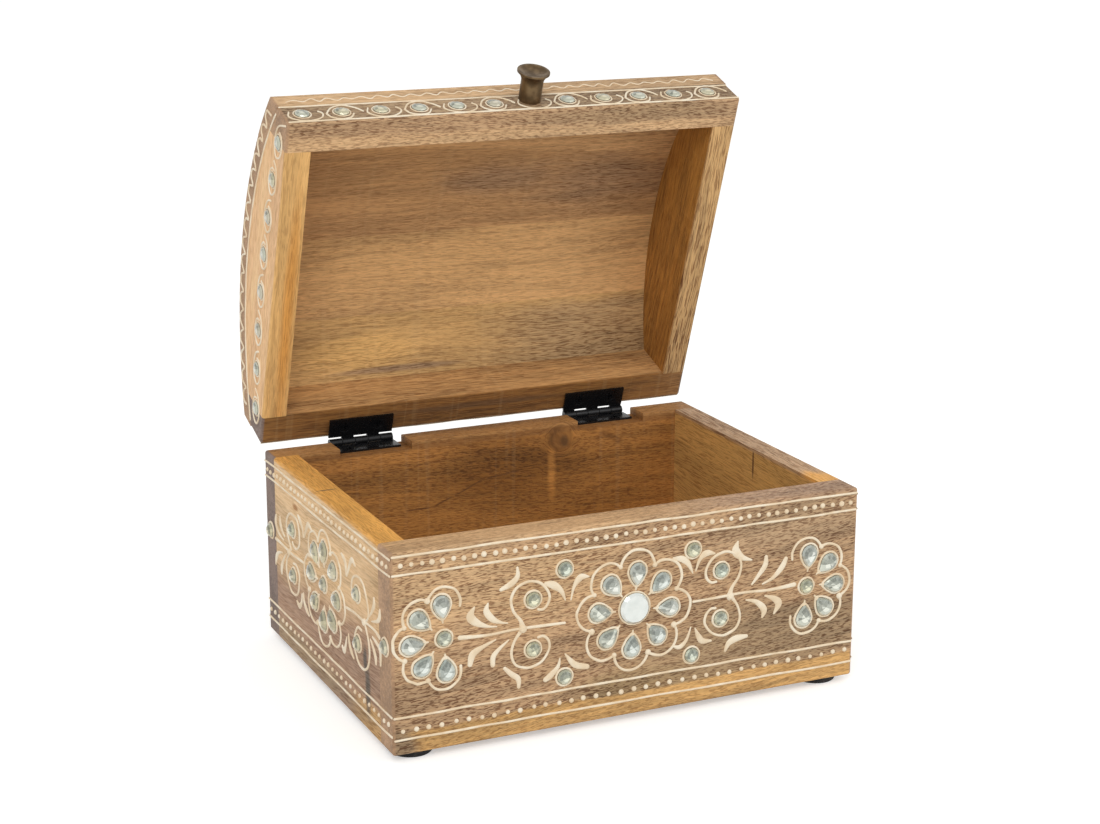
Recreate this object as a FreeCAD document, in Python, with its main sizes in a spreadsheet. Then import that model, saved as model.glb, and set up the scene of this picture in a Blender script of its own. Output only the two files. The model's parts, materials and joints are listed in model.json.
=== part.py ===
import FreeCAD, Part
import math
import os
import re

# A wooden jewelry box with a domed lid on two butt hinges, a brass knob and glued glass stones.
# Millimetres, +Z up, X from left to right, front at -Y. The origin is on the floor, under the
# middle of the base. The lid is built shut and then swung open about its hinge pins.

SIZES = {
    # Carcass of the base
    "box_width": 200.0,
    "box_depth": 150.0,
    "base_height": 80.0,
    "long_wall": 13.0,
    "end_wall": 10.5,
    "edge_round": 1.2,
    "bottom_thickness": 5.0,
    "rebate_width": 5.0,
    "bottom_clearance": 0.2,
    # Rubber feet
    "foot_diameter": 17.0,
    "foot_height": 3.0,
    "foot_inset": 11.0,
    "foot_round": 0.8,
    # Hidden dowels of the corner joints
    "dowel_diameter": 5.0,
    "dowel_depth_in_long_wall": 8.0,
    "dowel_depth_in_end_wall": 12.0,
    "dowel_clearance": 0.05,
    "base_dowel_low": 24.0,
    "base_dowel_high": 58.0,
    "lid_dowel_height": 7.0,
    # Brads that hold the bottom board
    "brad_diameter": 1.2,
    "brad_length": 13.0,
    "brad_head_diameter": 2.4,
    "brad_head_height": 0.6,
    "brad_clearance": 0.05,
    "brad_pitch_long": 55.0,
    "brad_pitch_end": 70.0,
    # Lid frame and its domed top of three boards
    "lid_overhang": 0.5,
    "lid_gap": 0.2,
    "lid_edge_height": 23.9,
    "dome_rise": 20.7,
    "dome_thickness": 8.5,
    "dome_round": 0.9,
    "glue_gap": 0.1,
    "front_board_width": 74.5,
    "middle_board_width": 37.0,
    "lid_open_angle": 70.5,
    # Butt hinges, their mortises and screws
    "hinge_length": 29.0,
    "hinge_inset": 44.3,
    "leaf_width": 11.0,
    "leaf_thickness": 0.95,
    "pin_diameter": 1.6,
    "pin_clearance": 0.05,
    "pin_setback": 3.2,
    "knuckle_gap": 0.3,
    "leaf_slot_gap": 0.45,
    "mortise_gap_left": 0.5,
    "mortise_gap_right": 3.0,
    "screw_head_diameter": 5.6,
    "screw_shank_diameter": 2.6,
    "screw_length": 10.0,
    "screw_clearance": 0.05,
    "screw_spacing": 14.8,
    "screw_row": 7.5,
    "screw_slot_width": 0.7,
    "screw_slot_length": 3.2,
    "screw_slot_depth": 0.8,
    # Brass knob and the screw that holds it
    "knob_shift": 6.0,
    "knob_height": 9.0,
    "knob_length": 13.0,
    "knob_neck_diameter": 9.3,
    "knob_rim_diameter": 13.6,
    "knob_rim_thickness": 0.7,
    "knob_flare_radius": 5.0,
    "knob_dish_diameter": 11.6,
    "knob_dish_depth": 1.3,
    "knob_screw_diameter": 3.5,
    "knob_screw_depth": 7.0,
    "knob_screw_head_diameter": 7.5,
    "knob_screw_head_height": 2.0,
    "knob_screw_clearance": 0.05,
    # Glued stones and where their flowers stand
    "stone_thickness": 1.6,
    "stone_bevel": 0.9,
    "petal_length": 9.4,
    "petal_width": 7.0,
    "petal_fullness": 17.5,
    "round_diameter": 6.0,
    "lid_round_diameter": 6.2,
    "mirror_diameter": 12.4,
    "flower_height": 44.0,
    "petal_ring": 14.6,
    "petal_ring_drop": 0.8,
    "half_flower_ring": 12.5,
    "half_flower_inset_left": 20.7,
    "half_flower_inset_right": 23.0,
    "half_flower_drop_left": 0.0,
    "half_flower_drop_right": 2.2,
    "half_flower_turn": 4.0,
    "scroll_inset_left": 57.0,
    "scroll_inset_right": 62.0,
    "scroll_rise": 10.0,
    "spray_offset_left": 29.8,
    "spray_offset_right": 25.3,
    "spray_rise": 21.8,
    "spray_drop": 1.6,
    "flower_turn": -4.0,
    "end_scroll_inset": 36.3,
    "end_stone_inset": 6.6,
    "end_motif_slope": 0.035,
    "lid_stone_inset": 10.3,
    "lid_stone_height": 7.1,
    "lid_end_stone_inset": 12.85,
    "lid_end_stone_share": 0.41,
    "top_corner_inset_across": 34.5,
    "top_corner_inset_along": 28.5,
}

FORMULAS = {
    # Heights of the rims, and the lid's outside
    "base_top": "foot_height + base_height",
    "lid_rim": "base_top + lid_gap",
    "lid_half_width": "box_width / 2 + lid_overhang",
    "lid_half_depth": "box_depth / 2 + lid_overhang",
    "dome_edge": "lid_rim + lid_edge_height",
    "dome_top": "dome_edge + dome_rise",
    "dome_radius": "(lid_half_depth ^ 2 + dome_rise ^ 2) / (2 * dome_rise)",
    "dome_inner_radius": "dome_radius - dome_thickness",
    "frame_radius": "dome_inner_radius - glue_gap",
    "dome_centre": "dome_top - dome_radius",
    # Inside of the base
    "inner_half_width": "box_width / 2 - end_wall",
    "inner_half_depth": "box_depth / 2 - long_wall",
    "rebate_half_width": "inner_half_width + rebate_width",
    "rebate_half_depth": "inner_half_depth + rebate_width",
    "brad_line_x": "inner_half_width + rebate_width / 2",
    "brad_line_y": "inner_half_depth + rebate_width / 2",
    # Stones, counted from the ends of the faces that carry them
    "half_flower_offset_left": "box_width / 2 - half_flower_inset_left",
    "half_flower_offset_right": "box_width / 2 - half_flower_inset_right",
    "scroll_offset_left": "box_width / 2 - scroll_inset_left",
    "scroll_offset_right": "box_width / 2 - scroll_inset_right",
    "end_scroll_offset": "box_depth / 2 - end_scroll_inset",
    "end_stone_offset": "box_depth / 2 - end_stone_inset",
    "top_corner_offset": "lid_half_width - top_corner_inset_across",
    "top_corner_reach": "lid_half_depth - top_corner_inset_along",
    # Hinge pin: the barrel just fills the space between mortise floor and lid rim
    "hinge_offset": "box_width / 2 - hinge_inset",
    "barrel_radius": "pin_diameter / 2 + pin_clearance + leaf_thickness",
    "pin_y": "box_depth / 2 + pin_setback",
    "pin_z": "lid_rim - barrel_radius",
    "leaf_floor": "pin_z - barrel_radius",
    "leaf_front": "pin_y - leaf_width",
    "leaf_back": "pin_y - barrel_radius - leaf_slot_gap",
    "screw_y": "pin_y - screw_row",
    "screw_head_height": "(screw_head_diameter - screw_shank_diameter) / 2",
    # Knob: a concave flare between its neck and its rim
    "knob_flare_width": "(knob_rim_diameter - knob_neck_diameter) / 2",
    "knob_flare_height": "sqrt(knob_flare_radius ^ 2 - (knob_flare_radius - knob_flare_width) ^ 2)",
    "knob_neck_length": "knob_length - knob_rim_thickness - knob_flare_height",
    "knob_dish_radius": "(knob_dish_diameter ^ 2 / 4 + knob_dish_depth ^ 2) / (2 * knob_dish_depth)",
}

KNUCKLE_COUNT = 5
PETAL_COUNT = 8
HALF_FLOWER_PETALS = 5
LID_STONE_COUNT = 12
KNOB_STONE_INDEX = 6
LID_END_STONE_COUNT = 8
TOOL_REACH = "1"
HALF_TURN = 180.0
SIDES = {"left": -1, "right": 1}

X_AXIS = FreeCAD.Vector(1, 0, 0)
Y_AXIS = FreeCAD.Vector(0, 1, 0)
Z_AXIS = FreeCAD.Vector(0, 0, 1)
ORIGIN = FreeCAD.Vector(0, 0, 0)

doc = FreeCAD.newDocument("jewelry_box")
WORD = re.compile(r"[A-Za-z_]\w*")
nodes = {}


# Spreadsheets: the driving sizes, and the places that follow from them
def fill_sheet(sheet_name, cells):
    sheet = doc.addObject("Spreadsheet::Sheet", sheet_name)
    for row, (alias, content) in enumerate(cells.items(), start=1):
        sheet.set(f"A{row}", alias.replace("_", " "))
        sheet.set(f"B{row}", content)
        sheet.setAlias(f"B{row}", alias)
    doc.recompute()
    return sheet


def through_sizes(formula):
    return WORD.sub(lambda word: f"Sizes.{word[0]}" if word[0] in SIZES else word[0], formula)


def bound(formula):
    text = through_sizes(formula)
    return WORD.sub(lambda word: f"Places.{word[0]}" if word[0] in FORMULAS else word[0], text)


sizes_sheet = fill_sheet("Sizes", {alias: str(number) for alias, number in SIZES.items()})
places_sheet = fill_sheet(
    "Places", {alias: "=" + through_sizes(formula) for alias, formula in FORMULAS.items()}
)


def size(alias):
    sheet = sizes_sheet if alias in SIZES else places_sheet
    return float(sheet.get(alias))


# Primitives and booleans bound to the sheets
def bind(piece, formulas):
    for prop, formula in formulas.items():
        piece.setExpression(prop, bound(formula))
    return piece


def place(piece, at):
    for axis, formula in zip("xyz", at):
        piece.setExpression(f"Placement.Base.{axis}", bound(formula))
    return piece


def box(name, low, span):
    piece = doc.addObject("Part::Box", name)
    bind(piece, dict(zip(("Length", "Width", "Height"), span)))
    return place(piece, low)


def rod(name, radius, length, start, along="z"):
    piece = doc.addObject("Part::Cylinder", name)
    turn = {"x": (Y_AXIS, 90), "y": (X_AXIS, -90), "z": (Z_AXIS, 0)}[along]
    piece.Placement = FreeCAD.Placement(ORIGIN, FreeCAD.Rotation(*turn))
    bind(piece, {"Radius": radius, "Height": length})
    return place(piece, start)


def cone(name, low_radius, high_radius, height, start):
    piece = doc.addObject("Part::Cone", name)
    bind(piece, {"Radius1": low_radius, "Radius2": high_radius, "Height": height})
    return place(piece, start)


def fuse(name, pieces):
    piece = doc.addObject("Part::MultiFuse", name)
    piece.Shapes = pieces
    return piece


def cut(name, base, tools):
    piece = doc.addObject("Part::Cut", name)
    piece.Base = base
    piece.Tool = tools[0] if len(tools) == 1 else fuse(name + "_tools", tools)
    return piece


def common(name, base, tool):
    piece = doc.addObject("Part::Common", name)
    piece.Base = base
    piece.Tool = tool
    return piece


def group(name, pieces):
    piece = doc.addObject("Part::Compound", name)
    piece.Links = pieces
    return piece


def rounded(name, base, radius, wanted):
    doc.recompute()
    piece = doc.addObject("Part::Fillet", name)
    piece.Base = base
    piece.Edges = [
        (number, radius, radius)
        for number, edge in enumerate(base.Shape.Edges, start=1)
        if wanted(edge)
    ]
    return piece


# An edge is on the outside where it lies in two of the outer planes (axis, value)
def outer_edge(planes):
    def wanted(edge):
        bounds = edge.BoundBox
        lows = (bounds.XMin, bounds.YMin, bounds.ZMin)
        highs = (bounds.XMax, bounds.YMax, bounds.ZMax)
        near = 0.001
        held = [
            axis
            for axis, value in planes
            if abs(lows["xyz".index(axis)] - value) < near and abs(highs["xyz".index(axis)] - value) < near
        ]
        return len(held) >= 2

    return wanted


def node(name, piece):
    piece.Label = name
    nodes[name] = piece
    return piece


def lid_node(name, piece, own=FreeCAD.Placement()):
    pin = FreeCAD.Vector(0, size("pin_y"), size("pin_z"))
    swing = FreeCAD.Placement(ORIGIN, FreeCAD.Rotation(X_AXIS, -size("lid_open_angle")), pin)
    piece.Placement = swing.multiply(own)
    return node(name, piece)


def wall_end(sign, formula):
    return formula if sign > 0 else f"-({formula})"


# Dowels run along Y through each corner joint, from a long wall into an end wall
def dowel(name, x, joint_y, toward_front, height, grow="0"):
    long_depth = f"(dowel_depth_in_long_wall + {grow})"
    end_depth = f"(dowel_depth_in_end_wall + {grow})"
    low_depth = long_depth if toward_front else end_depth
    return rod(
        name,
        f"dowel_diameter / 2 + {grow}",
        f"{long_depth} + {end_depth}",
        (x, f"{joint_y} - {low_depth}", height),
        "y",
    )


def corner_dowels(name, x, joint_y, heights):
    pins = []
    holes = []
    for side, sign in SIDES.items():
        for front in (True, False):
            for level, height in enumerate(heights):
                label = f"{name}_{side}_{'front' if front else 'back'}_{level}"
                at = (wall_end(sign, x), wall_end(-1 if front else 1, joint_y), front, height)
                pins.append(dowel(label, *at))
                holes.append(dowel(label + "_hole", *at, "dowel_clearance"))
    return pins, holes


# Base: front and back panels cover the ends of the side panels
def base_panels(dowel_holes, brad_holes, mortises, leaf_screw_holes):
    rebate = box(
        "bottom_rebate",
        ("-rebate_half_width", "-rebate_half_depth", f"foot_height - {TOOL_REACH}"),
        ("2 * rebate_half_width", "2 * rebate_half_depth", f"bottom_thickness + {TOOL_REACH}"),
    )
    half_width = size("box_width") / 2
    half_depth = size("box_depth") / 2
    level = [("z", size("foot_height")), ("z", size("base_top"))]
    radius = size("edge_round")
    for name, sign, extra in (("front", -1, []), ("back", 1, mortises + leaf_screw_holes)):
        low_y = "-box_depth / 2" if sign < 0 else "inner_half_depth"
        blank = box(
            f"{name}_blank",
            ("-box_width / 2", low_y, "foot_height"),
            ("box_width", "long_wall", "base_height"),
        )
        outside = level + [("x", -half_width), ("x", half_width), ("y", sign * half_depth)]
        soft = rounded(f"{name}_soft", blank, radius, outer_edge(outside))
        node(f"base_{name}_panel", cut(f"{name}_panel", soft, [rebate, *dowel_holes, *brad_holes, *extra]))
    for name, sign in SIDES.items():
        low_x = "-box_width / 2" if sign < 0 else "inner_half_width"
        blank = box(
            f"{name}_blank",
            (low_x, "-inner_half_depth", "foot_height"),
            ("end_wall", "2 * inner_half_depth", "base_height"),
        )
        soft = rounded(f"{name}_soft", blank, radius, outer_edge(level + [("x", sign * half_width)]))
        node(f"base_{name}_panel", cut(f"{name}_panel", soft, [rebate, *dowel_holes, *brad_holes]))


def bottom_board(brad_holes):
    blank = box(
        "bottom_blank",
        ("bottom_clearance - rebate_half_width", "bottom_clearance - rebate_half_depth", "foot_height"),
        (
            "2 * (rebate_half_width - bottom_clearance)",
            "2 * (rebate_half_depth - bottom_clearance)",
            "bottom_thickness",
        ),
    )
    node("base_bottom_board", cut("bottom_board", blank, brad_holes))


# Brads go up through the bottom board's edge into the walls above the rebate
def brad(name, x, y, grow="0"):
    start = (x, y, "foot_height")
    head = rod(name + "_head", f"brad_head_diameter / 2 + {grow}", f"brad_head_height + {grow}", start)
    shank = rod(name + "_shank", f"brad_diameter / 2 + {grow}", f"brad_length + {grow}", start)
    return fuse(name, [head, shank])


def bottom_brads():
    spots = []
    for sign in SIDES.values():
        spots += [(f"{step} * brad_pitch_long", wall_end(sign, "brad_line_y")) for step in (-1, 0, 1)]
        spots += [(wall_end(sign, "brad_line_x"), f"{step} * brad_pitch_end / 2") for step in (-1, 1)]
    brads = [brad(f"brad_{number}", x, y) for number, (x, y) in enumerate(spots)]
    holes = [brad(f"brad_hole_{number}", x, y, "brad_clearance") for number, (x, y) in enumerate(spots)]
    node("base_bottom_brads", group("bottom_brads", brads))
    return holes


def feet():
    for end, end_sign in (("front", -1), ("back", 1)):
        for side, sign in SIDES.items():
            at = (
                wall_end(sign, "box_width / 2 - foot_inset"),
                wall_end(end_sign, "box_depth / 2 - foot_inset"),
                "0",
            )
            pad = rod(f"foot_pad_{end}_{side}", "foot_diameter / 2", "foot_height", at)
            tread = rounded(
                f"foot_{end}_{side}",
                pad,
                size("foot_round"),
                lambda edge: edge.BoundBox.ZMax < size("foot_round") / 2,
            )
            node(f"foot_{end}_{side}", tread)


# Countersunk hinge screws: built head up at the origin, then placed
def screw(name, at, flipped, grow="0"):
    shank_radius = f"screw_shank_diameter / 2 + {grow}"
    head = cone(
        name + "_head",
        shank_radius,
        f"screw_head_diameter / 2 + {grow}",
        "screw_head_height",
        ("0", "0", "-screw_head_height"),
    )
    shank = rod(
        name + "_shank",
        shank_radius,
        f"screw_length - screw_head_height + {grow}",
        ("0", "0", f"-screw_length - {grow}"),
    )
    body = fuse(name, [head, shank])
    if grow == "0":
        slot = box(
            name + "_slot",
            ("-screw_slot_length / 2", "-screw_slot_width / 2", "-screw_slot_depth"),
            ("screw_slot_length", "screw_slot_width", f"screw_slot_depth + {TOOL_REACH}"),
        )
        cross = box(
            name + "_cross",
            ("-screw_slot_width / 2", "-screw_slot_length / 2", "-screw_slot_depth"),
            ("screw_slot_width", "screw_slot_length", f"screw_slot_depth + {TOOL_REACH}"),
        )
        body = cut(name + "_recessed", body, [slot, cross])
    body.Placement = FreeCAD.Placement(ORIGIN, FreeCAD.Rotation(X_AXIS, 180 if flipped else 0))
    return place(body, at)


# One hinge: its two leaves share the barrel, whose knuckles alternate between them, and lie in a notch
# that is cut right through the back panel's rim
def leaf(name, centre_x, owned, is_lid, holes):
    plate_z = "lid_rim - leaf_thickness" if is_lid else "leaf_floor"
    start_x = f"{centre_x} - hinge_length / 2"
    pieces = [
        box(
            f"{name}_plate",
            (start_x, "leaf_front", plate_z),
            ("hinge_length", "leaf_back - leaf_front", "leaf_thickness"),
        )
    ]
    for number in owned:
        low_x = f"{start_x} + {number} * hinge_length / {KNUCKLE_COUNT} + knuckle_gap / 2"
        span = f"hinge_length / {KNUCKLE_COUNT} - knuckle_gap"
        pieces.append(rod(f"{name}_knuckle_{number}", "barrel_radius", span, (low_x, "pin_y", "pin_z"), "x"))
        tab_span = (span, "pin_y - leaf_back", "leaf_thickness")
        pieces.append(box(f"{name}_tab_{number}", (low_x, "leaf_back", plate_z), tab_span))
    bore = rod(
        f"{name}_bore",
        "pin_diameter / 2 + pin_clearance",
        f"hinge_length + 2 * {TOOL_REACH}",
        (f"{start_x} - {TOOL_REACH}", "pin_y", "pin_z"),
        "x",
    )
    return cut(name, fuse(f"{name}_strip", pieces), [bore, *holes])


def hinge(side, sign, lid_owned):
    centre_x = wall_end(sign, "hinge_offset")
    base_owned = [number for number in range(KNUCKLE_COUNT) if number not in lid_owned]
    voids = {"base": [], "lid": []}
    for part, head_z, flipped in (
        ("base", "leaf_floor + leaf_thickness", False),
        ("lid", "lid_rim - leaf_thickness", True),
    ):
        screws = []
        for number, step in enumerate((-1, 1)):
            at = (f"{centre_x} + {step} * screw_spacing / 2", "screw_y", head_z)
            name = f"{side}_{part}_screw_{number}"
            screws.append(screw(name, at, flipped))
            voids[part].append(screw(name + "_hole", at, flipped, "screw_clearance"))
        bundle = group(f"{side}_{part}_screws", screws)
        keep = lid_node if part == "lid" else node
        keep(f"{side}_hinge_{part}_screws", bundle)
    node(f"{side}_hinge_base_leaf", leaf(f"{side}_base_leaf", centre_x, base_owned, False, voids["base"]))
    lid_node(f"{side}_hinge_lid_leaf", leaf(f"{side}_lid_leaf", centre_x, lid_owned, True, voids["lid"]))
    pin = rod(
        f"{side}_pin",
        "pin_diameter / 2",
        "hinge_length",
        (f"{centre_x} - hinge_length / 2", "pin_y", "pin_z"),
        "x",
    )
    node(f"{side}_hinge_pin", pin)
    mortise = box(
        f"{side}_mortise",
        (
            f"{centre_x} - hinge_length / 2 - mortise_gap_left",
            f"inner_half_depth - {TOOL_REACH}",
            "leaf_floor",
        ),
        (
            "hinge_length + mortise_gap_left + mortise_gap_right",
            f"long_wall + pin_setback + 2 * {TOOL_REACH}",
            f"base_top - leaf_floor + {TOOL_REACH}",
        ),
    )
    return mortise, voids


# Lid frame: front and back rails cover the arched ends, and all four carry the dome
def lid_frame(dowel_holes, knob_hole, leaf_screw_holes):
    vault = rod("vault", "frame_radius", "2 * lid_half_width", ("-lid_half_width", "0", "dome_centre"), "x")
    half_width = size("lid_half_width")
    half_depth = size("lid_half_depth")
    rim = ("z", size("lid_rim"))
    height = "lid_edge_height + dome_rise"
    radius = size("edge_round")
    for name, sign, extra in (("front", -1, [knob_hole]), ("back", 1, leaf_screw_holes)):
        low_y = "-lid_half_depth" if sign < 0 else "lid_half_depth - long_wall"
        blank = box(
            f"{name}_rail_blank",
            ("-lid_half_width", low_y, "lid_rim"),
            ("2 * lid_half_width", "long_wall", height),
        )
        outside = [rim, ("x", -half_width), ("x", half_width), ("y", sign * half_depth)]
        soft = rounded(f"{name}_rail_soft", blank, radius, outer_edge(outside))
        rail = common(f"{name}_rail_arched", soft, vault)
        lid_node(f"lid_{name}_rail", cut(f"{name}_rail", rail, [*dowel_holes, *extra]))
    for name, sign in SIDES.items():
        low_x = "-lid_half_width" if sign < 0 else "lid_half_width - end_wall"
        blank = box(
            f"{name}_end_blank",
            (low_x, "long_wall - lid_half_depth", "lid_rim"),
            ("end_wall", "2 * (lid_half_depth - long_wall)", height),
        )
        soft = rounded(f"{name}_end_soft", blank, radius, outer_edge([rim, ("x", sign * half_width)]))
        end = common(f"{name}_end_arched", soft, vault)
        lid_node(f"lid_{name}_end", cut(f"{name}_end", end, dowel_holes))


# Dome: three boards glued edge to edge and worked to one arch
def dome_boards():
    left_end = ("-lid_half_width", "0", "dome_centre")
    outer = rod("dome_outer", "dome_radius", "2 * lid_half_width", left_end, "x")
    inner = rod(
        "dome_inner",
        "dome_inner_radius",
        f"2 * lid_half_width + 2 * {TOOL_REACH}",
        (f"-lid_half_width - {TOOL_REACH}", "0", "dome_centre"),
        "x",
    )
    arch = cut("dome_arch", outer, [inner])
    half_width = size("lid_half_width")
    half_depth = size("lid_half_depth")
    radius = size("dome_radius")
    centre_z = size("dome_centre")

    def on_outside(edge):
        near = 0.001
        ends = [vertex.Point for vertex in edge.Vertexes]
        if any(abs(math.hypot(point.y, point.z - centre_z) - radius) > near for point in ends):
            return False
        at_end = all(abs(abs(point.x) - half_width) < near for point in ends)
        at_edge = all(abs(abs(point.y) - half_depth) < near for point in ends)
        same_end = abs(ends[0].x - ends[-1].x) < near
        return (at_end and same_end) or at_edge

    front_joint = "front_board_width - lid_half_depth"
    rear_joint = f"{front_joint} + middle_board_width"
    spans = {
        "front": ("-lid_half_depth", "front_board_width"),
        "middle": (front_joint, "middle_board_width"),
        "rear": (rear_joint, "2 * lid_half_depth - front_board_width - middle_board_width"),
    }
    for name, (low_y, width) in spans.items():
        slab = box(
            f"{name}_board_slab",
            ("-lid_half_width", low_y, "lid_rim"),
            ("2 * lid_half_width", width, f"lid_edge_height + dome_rise + {TOOL_REACH}"),
        )
        board = common(f"{name}_board_arch", arch, slab)
        lid_node(f"lid_top_board_{name}", rounded(f"{name}_board", board, size("dome_round"), on_outside))


# Knob: turned along its own axis, then set on the front rail
def knob():
    neck = rod("knob_neck", "knob_neck_diameter / 2", "knob_neck_length", ("0", "0", "0"))
    head = rod(
        "knob_head",
        "knob_rim_diameter / 2",
        "knob_length - knob_neck_length",
        ("0", "0", "knob_neck_length"),
    )
    hollow = doc.addObject("Part::Torus", "knob_hollow")
    bind(hollow, {"Radius1": "knob_neck_diameter / 2 + knob_flare_radius", "Radius2": "knob_flare_radius"})
    place(hollow, ("0", "0", "knob_neck_length"))
    dish = doc.addObject("Part::Sphere", "knob_dish")
    bind(dish, {"Radius": "knob_dish_radius"})
    place(dish, ("0", "0", "knob_length + knob_dish_radius - knob_dish_depth"))
    bore = rod(
        "knob_bore",
        "knob_screw_diameter / 2 + knob_screw_clearance",
        f"knob_screw_depth + knob_screw_clearance + {TOOL_REACH}",
        ("0", "0", f"-{TOOL_REACH}"),
    )
    flared = cut("knob_flared", head, [hollow, dish])
    turned = cut("knob", fuse("knob_blank", [neck, flared]), [bore])
    shank = rod(
        "knob_screw_shank",
        "knob_screw_diameter / 2",
        "long_wall + knob_screw_depth",
        ("0", "0", "-long_wall"),
    )
    pan = rod(
        "knob_screw_pan",
        "knob_screw_head_diameter / 2",
        "knob_screw_head_height",
        ("0", "0", "-long_wall - knob_screw_head_height"),
    )
    fixing = fuse("knob_screw", [shank, pan])
    seat = FreeCAD.Vector(size("knob_shift"), -size("lid_half_depth"), size("lid_rim") + size("knob_height"))
    outward = FreeCAD.Placement(seat, FreeCAD.Rotation(X_AXIS, 90))
    lid_node("lid_knob", turned, outward)
    lid_node("lid_knob_screw", fixing, outward)


def knob_hole():
    return rod(
        "knob_hole",
        "knob_screw_diameter / 2 + knob_screw_clearance",
        f"long_wall + 2 * {TOOL_REACH}",
        ("knob_shift", f"-lid_half_depth - {TOOL_REACH}", "lid_rim + knob_height"),
        "y",
    )


# Stones have flat backs and bevelled crowns
def across_axis(point):
    return FreeCAD.Vector(point.x, -point.y, 0)


# A teardrop with curved flanks: its point is at -X, towards the flower's middle, its round end at +X
def petal_stone():
    radius = size("petal_width") / 2
    reach = size("petal_length") / 2
    tip = FreeCAD.Vector(-reach, 0, 0)
    far = FreeCAD.Vector(reach, 0, 0)
    middle = FreeCAD.Vector(reach - radius, 0, 0)
    touch = math.acos(radius / (2 * reach - radius)) + math.radians(size("petal_fullness"))
    outward = FreeCAD.Vector(-math.cos(touch), math.sin(touch), 0)
    upper = middle + outward * radius
    chord = tip - upper
    flank_radius = -chord.Length ** 2 / (2 * chord.dot(outward))
    flank_middle = upper - outward * flank_radius
    flank = flank_middle + ((tip + upper) / 2 - flank_middle).normalize() * flank_radius
    outline = Part.Wire([
        Part.Arc(tip, across_axis(flank), across_axis(upper)).toShape(),
        Part.Arc(across_axis(upper), far, upper).toShape(),
        Part.Arc(upper, flank, tip).toShape(),
    ])
    return crowned(Part.Face(outline).extrude(Z_AXIS * size("stone_thickness")))


def round_stone(diameter):
    return crowned(Part.makeCylinder(diameter / 2, size("stone_thickness")))


def crowned(blank):
    top = [edge for edge in blank.Edges if edge.BoundBox.ZMin > size("stone_thickness") / 2]
    return blank.makeChamfer(size("stone_bevel"), top)


# A spot on an upright face: turn 0 is the front, 90 right, 180 back and 270 left
def upright(turn, distance, across, height, angle=0):
    facing = FreeCAD.Placement(ORIGIN, FreeCAD.Rotation(Z_AXIS, turn))
    spot = FreeCAD.Placement(FreeCAD.Vector(across, -distance, height), FreeCAD.Rotation(X_AXIS, 90))
    spin = FreeCAD.Placement(ORIGIN, FreeCAD.Rotation(Z_AXIS, angle))
    return facing.multiply(spot).multiply(spin)


# A spot on the dome: along is the arc length from the crown towards the back
def on_dome(across, along, angle=0):
    lean = -math.degrees(along / size("dome_radius"))
    centre = FreeCAD.Placement(FreeCAD.Vector(across, 0, size("dome_centre")), FreeCAD.Rotation(X_AXIS, lean))
    spot = FreeCAD.Placement(FreeCAD.Vector(0, 0, size("dome_radius")), FreeCAD.Rotation(Z_AXIS, angle))
    return centre.multiply(spot)


def stone_set(name, stone, spots, keep):
    piece = doc.addObject("Part::Feature", name)
    copies = []
    for spot in spots:
        copy = stone.copy()
        copy.Placement = spot
        copies.append(copy)
    piece.Shape = Part.makeCompound(copies)
    keep(name, piece)


def ring_spots(spot, across, height, ring, angles):
    spots = []
    for angle in angles:
        reach = FreeCAD.Vector(ring, 0, 0)
        reach = FreeCAD.Rotation(Z_AXIS, angle).multVec(reach)
        spots.append(spot(across + reach.x, height + reach.y, angle))
    return spots


def flower_angles():
    start = HALF_TURN / 2 + size("flower_turn")
    return [start + 2 * HALF_TURN / PETAL_COUNT * number for number in range(PETAL_COUNT)]


def half_flower_angles(middle, turn=0.0):
    step = HALF_TURN / (HALF_FLOWER_PETALS - 1)
    start = middle - HALF_TURN / 2 + turn
    return [start + step * number for number in range(HALF_FLOWER_PETALS)]


# The long motif: a flower, a scroll pair and a half flower to each side, and stones in the sprays
def long_motif(spot, middle):
    petals = ring_spots(spot, 0, middle - size("petal_ring_drop"), size("petal_ring"), flower_angles())
    rounds = []
    for side, sign in SIDES.items():
        half_across = sign * size(f"half_flower_offset_{side}")
        half_level = middle - size(f"half_flower_drop_{side}")
        angles = half_flower_angles(0 if sign > 0 else HALF_TURN, -sign * size("half_flower_turn"))
        petals += ring_spots(spot, half_across, half_level, size("half_flower_ring"), angles)
        rounds.append(spot(half_across, half_level))
        for kind, level in (("scroll", middle), ("spray", middle - size("spray_drop"))):
            across = sign * size(f"{kind}_offset_{side}")
            rise = size(f"{kind}_rise")
            rounds += [spot(across, level + rise), spot(across, level - rise)]
    return petals, rounds, [spot(0, middle)]


# The short motif of the two ends: a flower, scroll pairs and a stone by each edge, on a slightly falling line
def short_motif(spot, middle):
    petals = ring_spots(spot, 0, middle - size("petal_ring_drop"), size("petal_ring"), flower_angles())
    rounds = [spot(0, middle)]
    for sign in SIDES.values():
        across = sign * size("end_scroll_offset")
        level = middle - across * size("end_motif_slope")
        rounds += [spot(across, level + size("scroll_rise")), spot(across, level - size("scroll_rise"))]
        across = sign * size("end_stone_offset")
        rounds.append(spot(across, middle - across * size("end_motif_slope")))
    return petals, rounds


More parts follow.
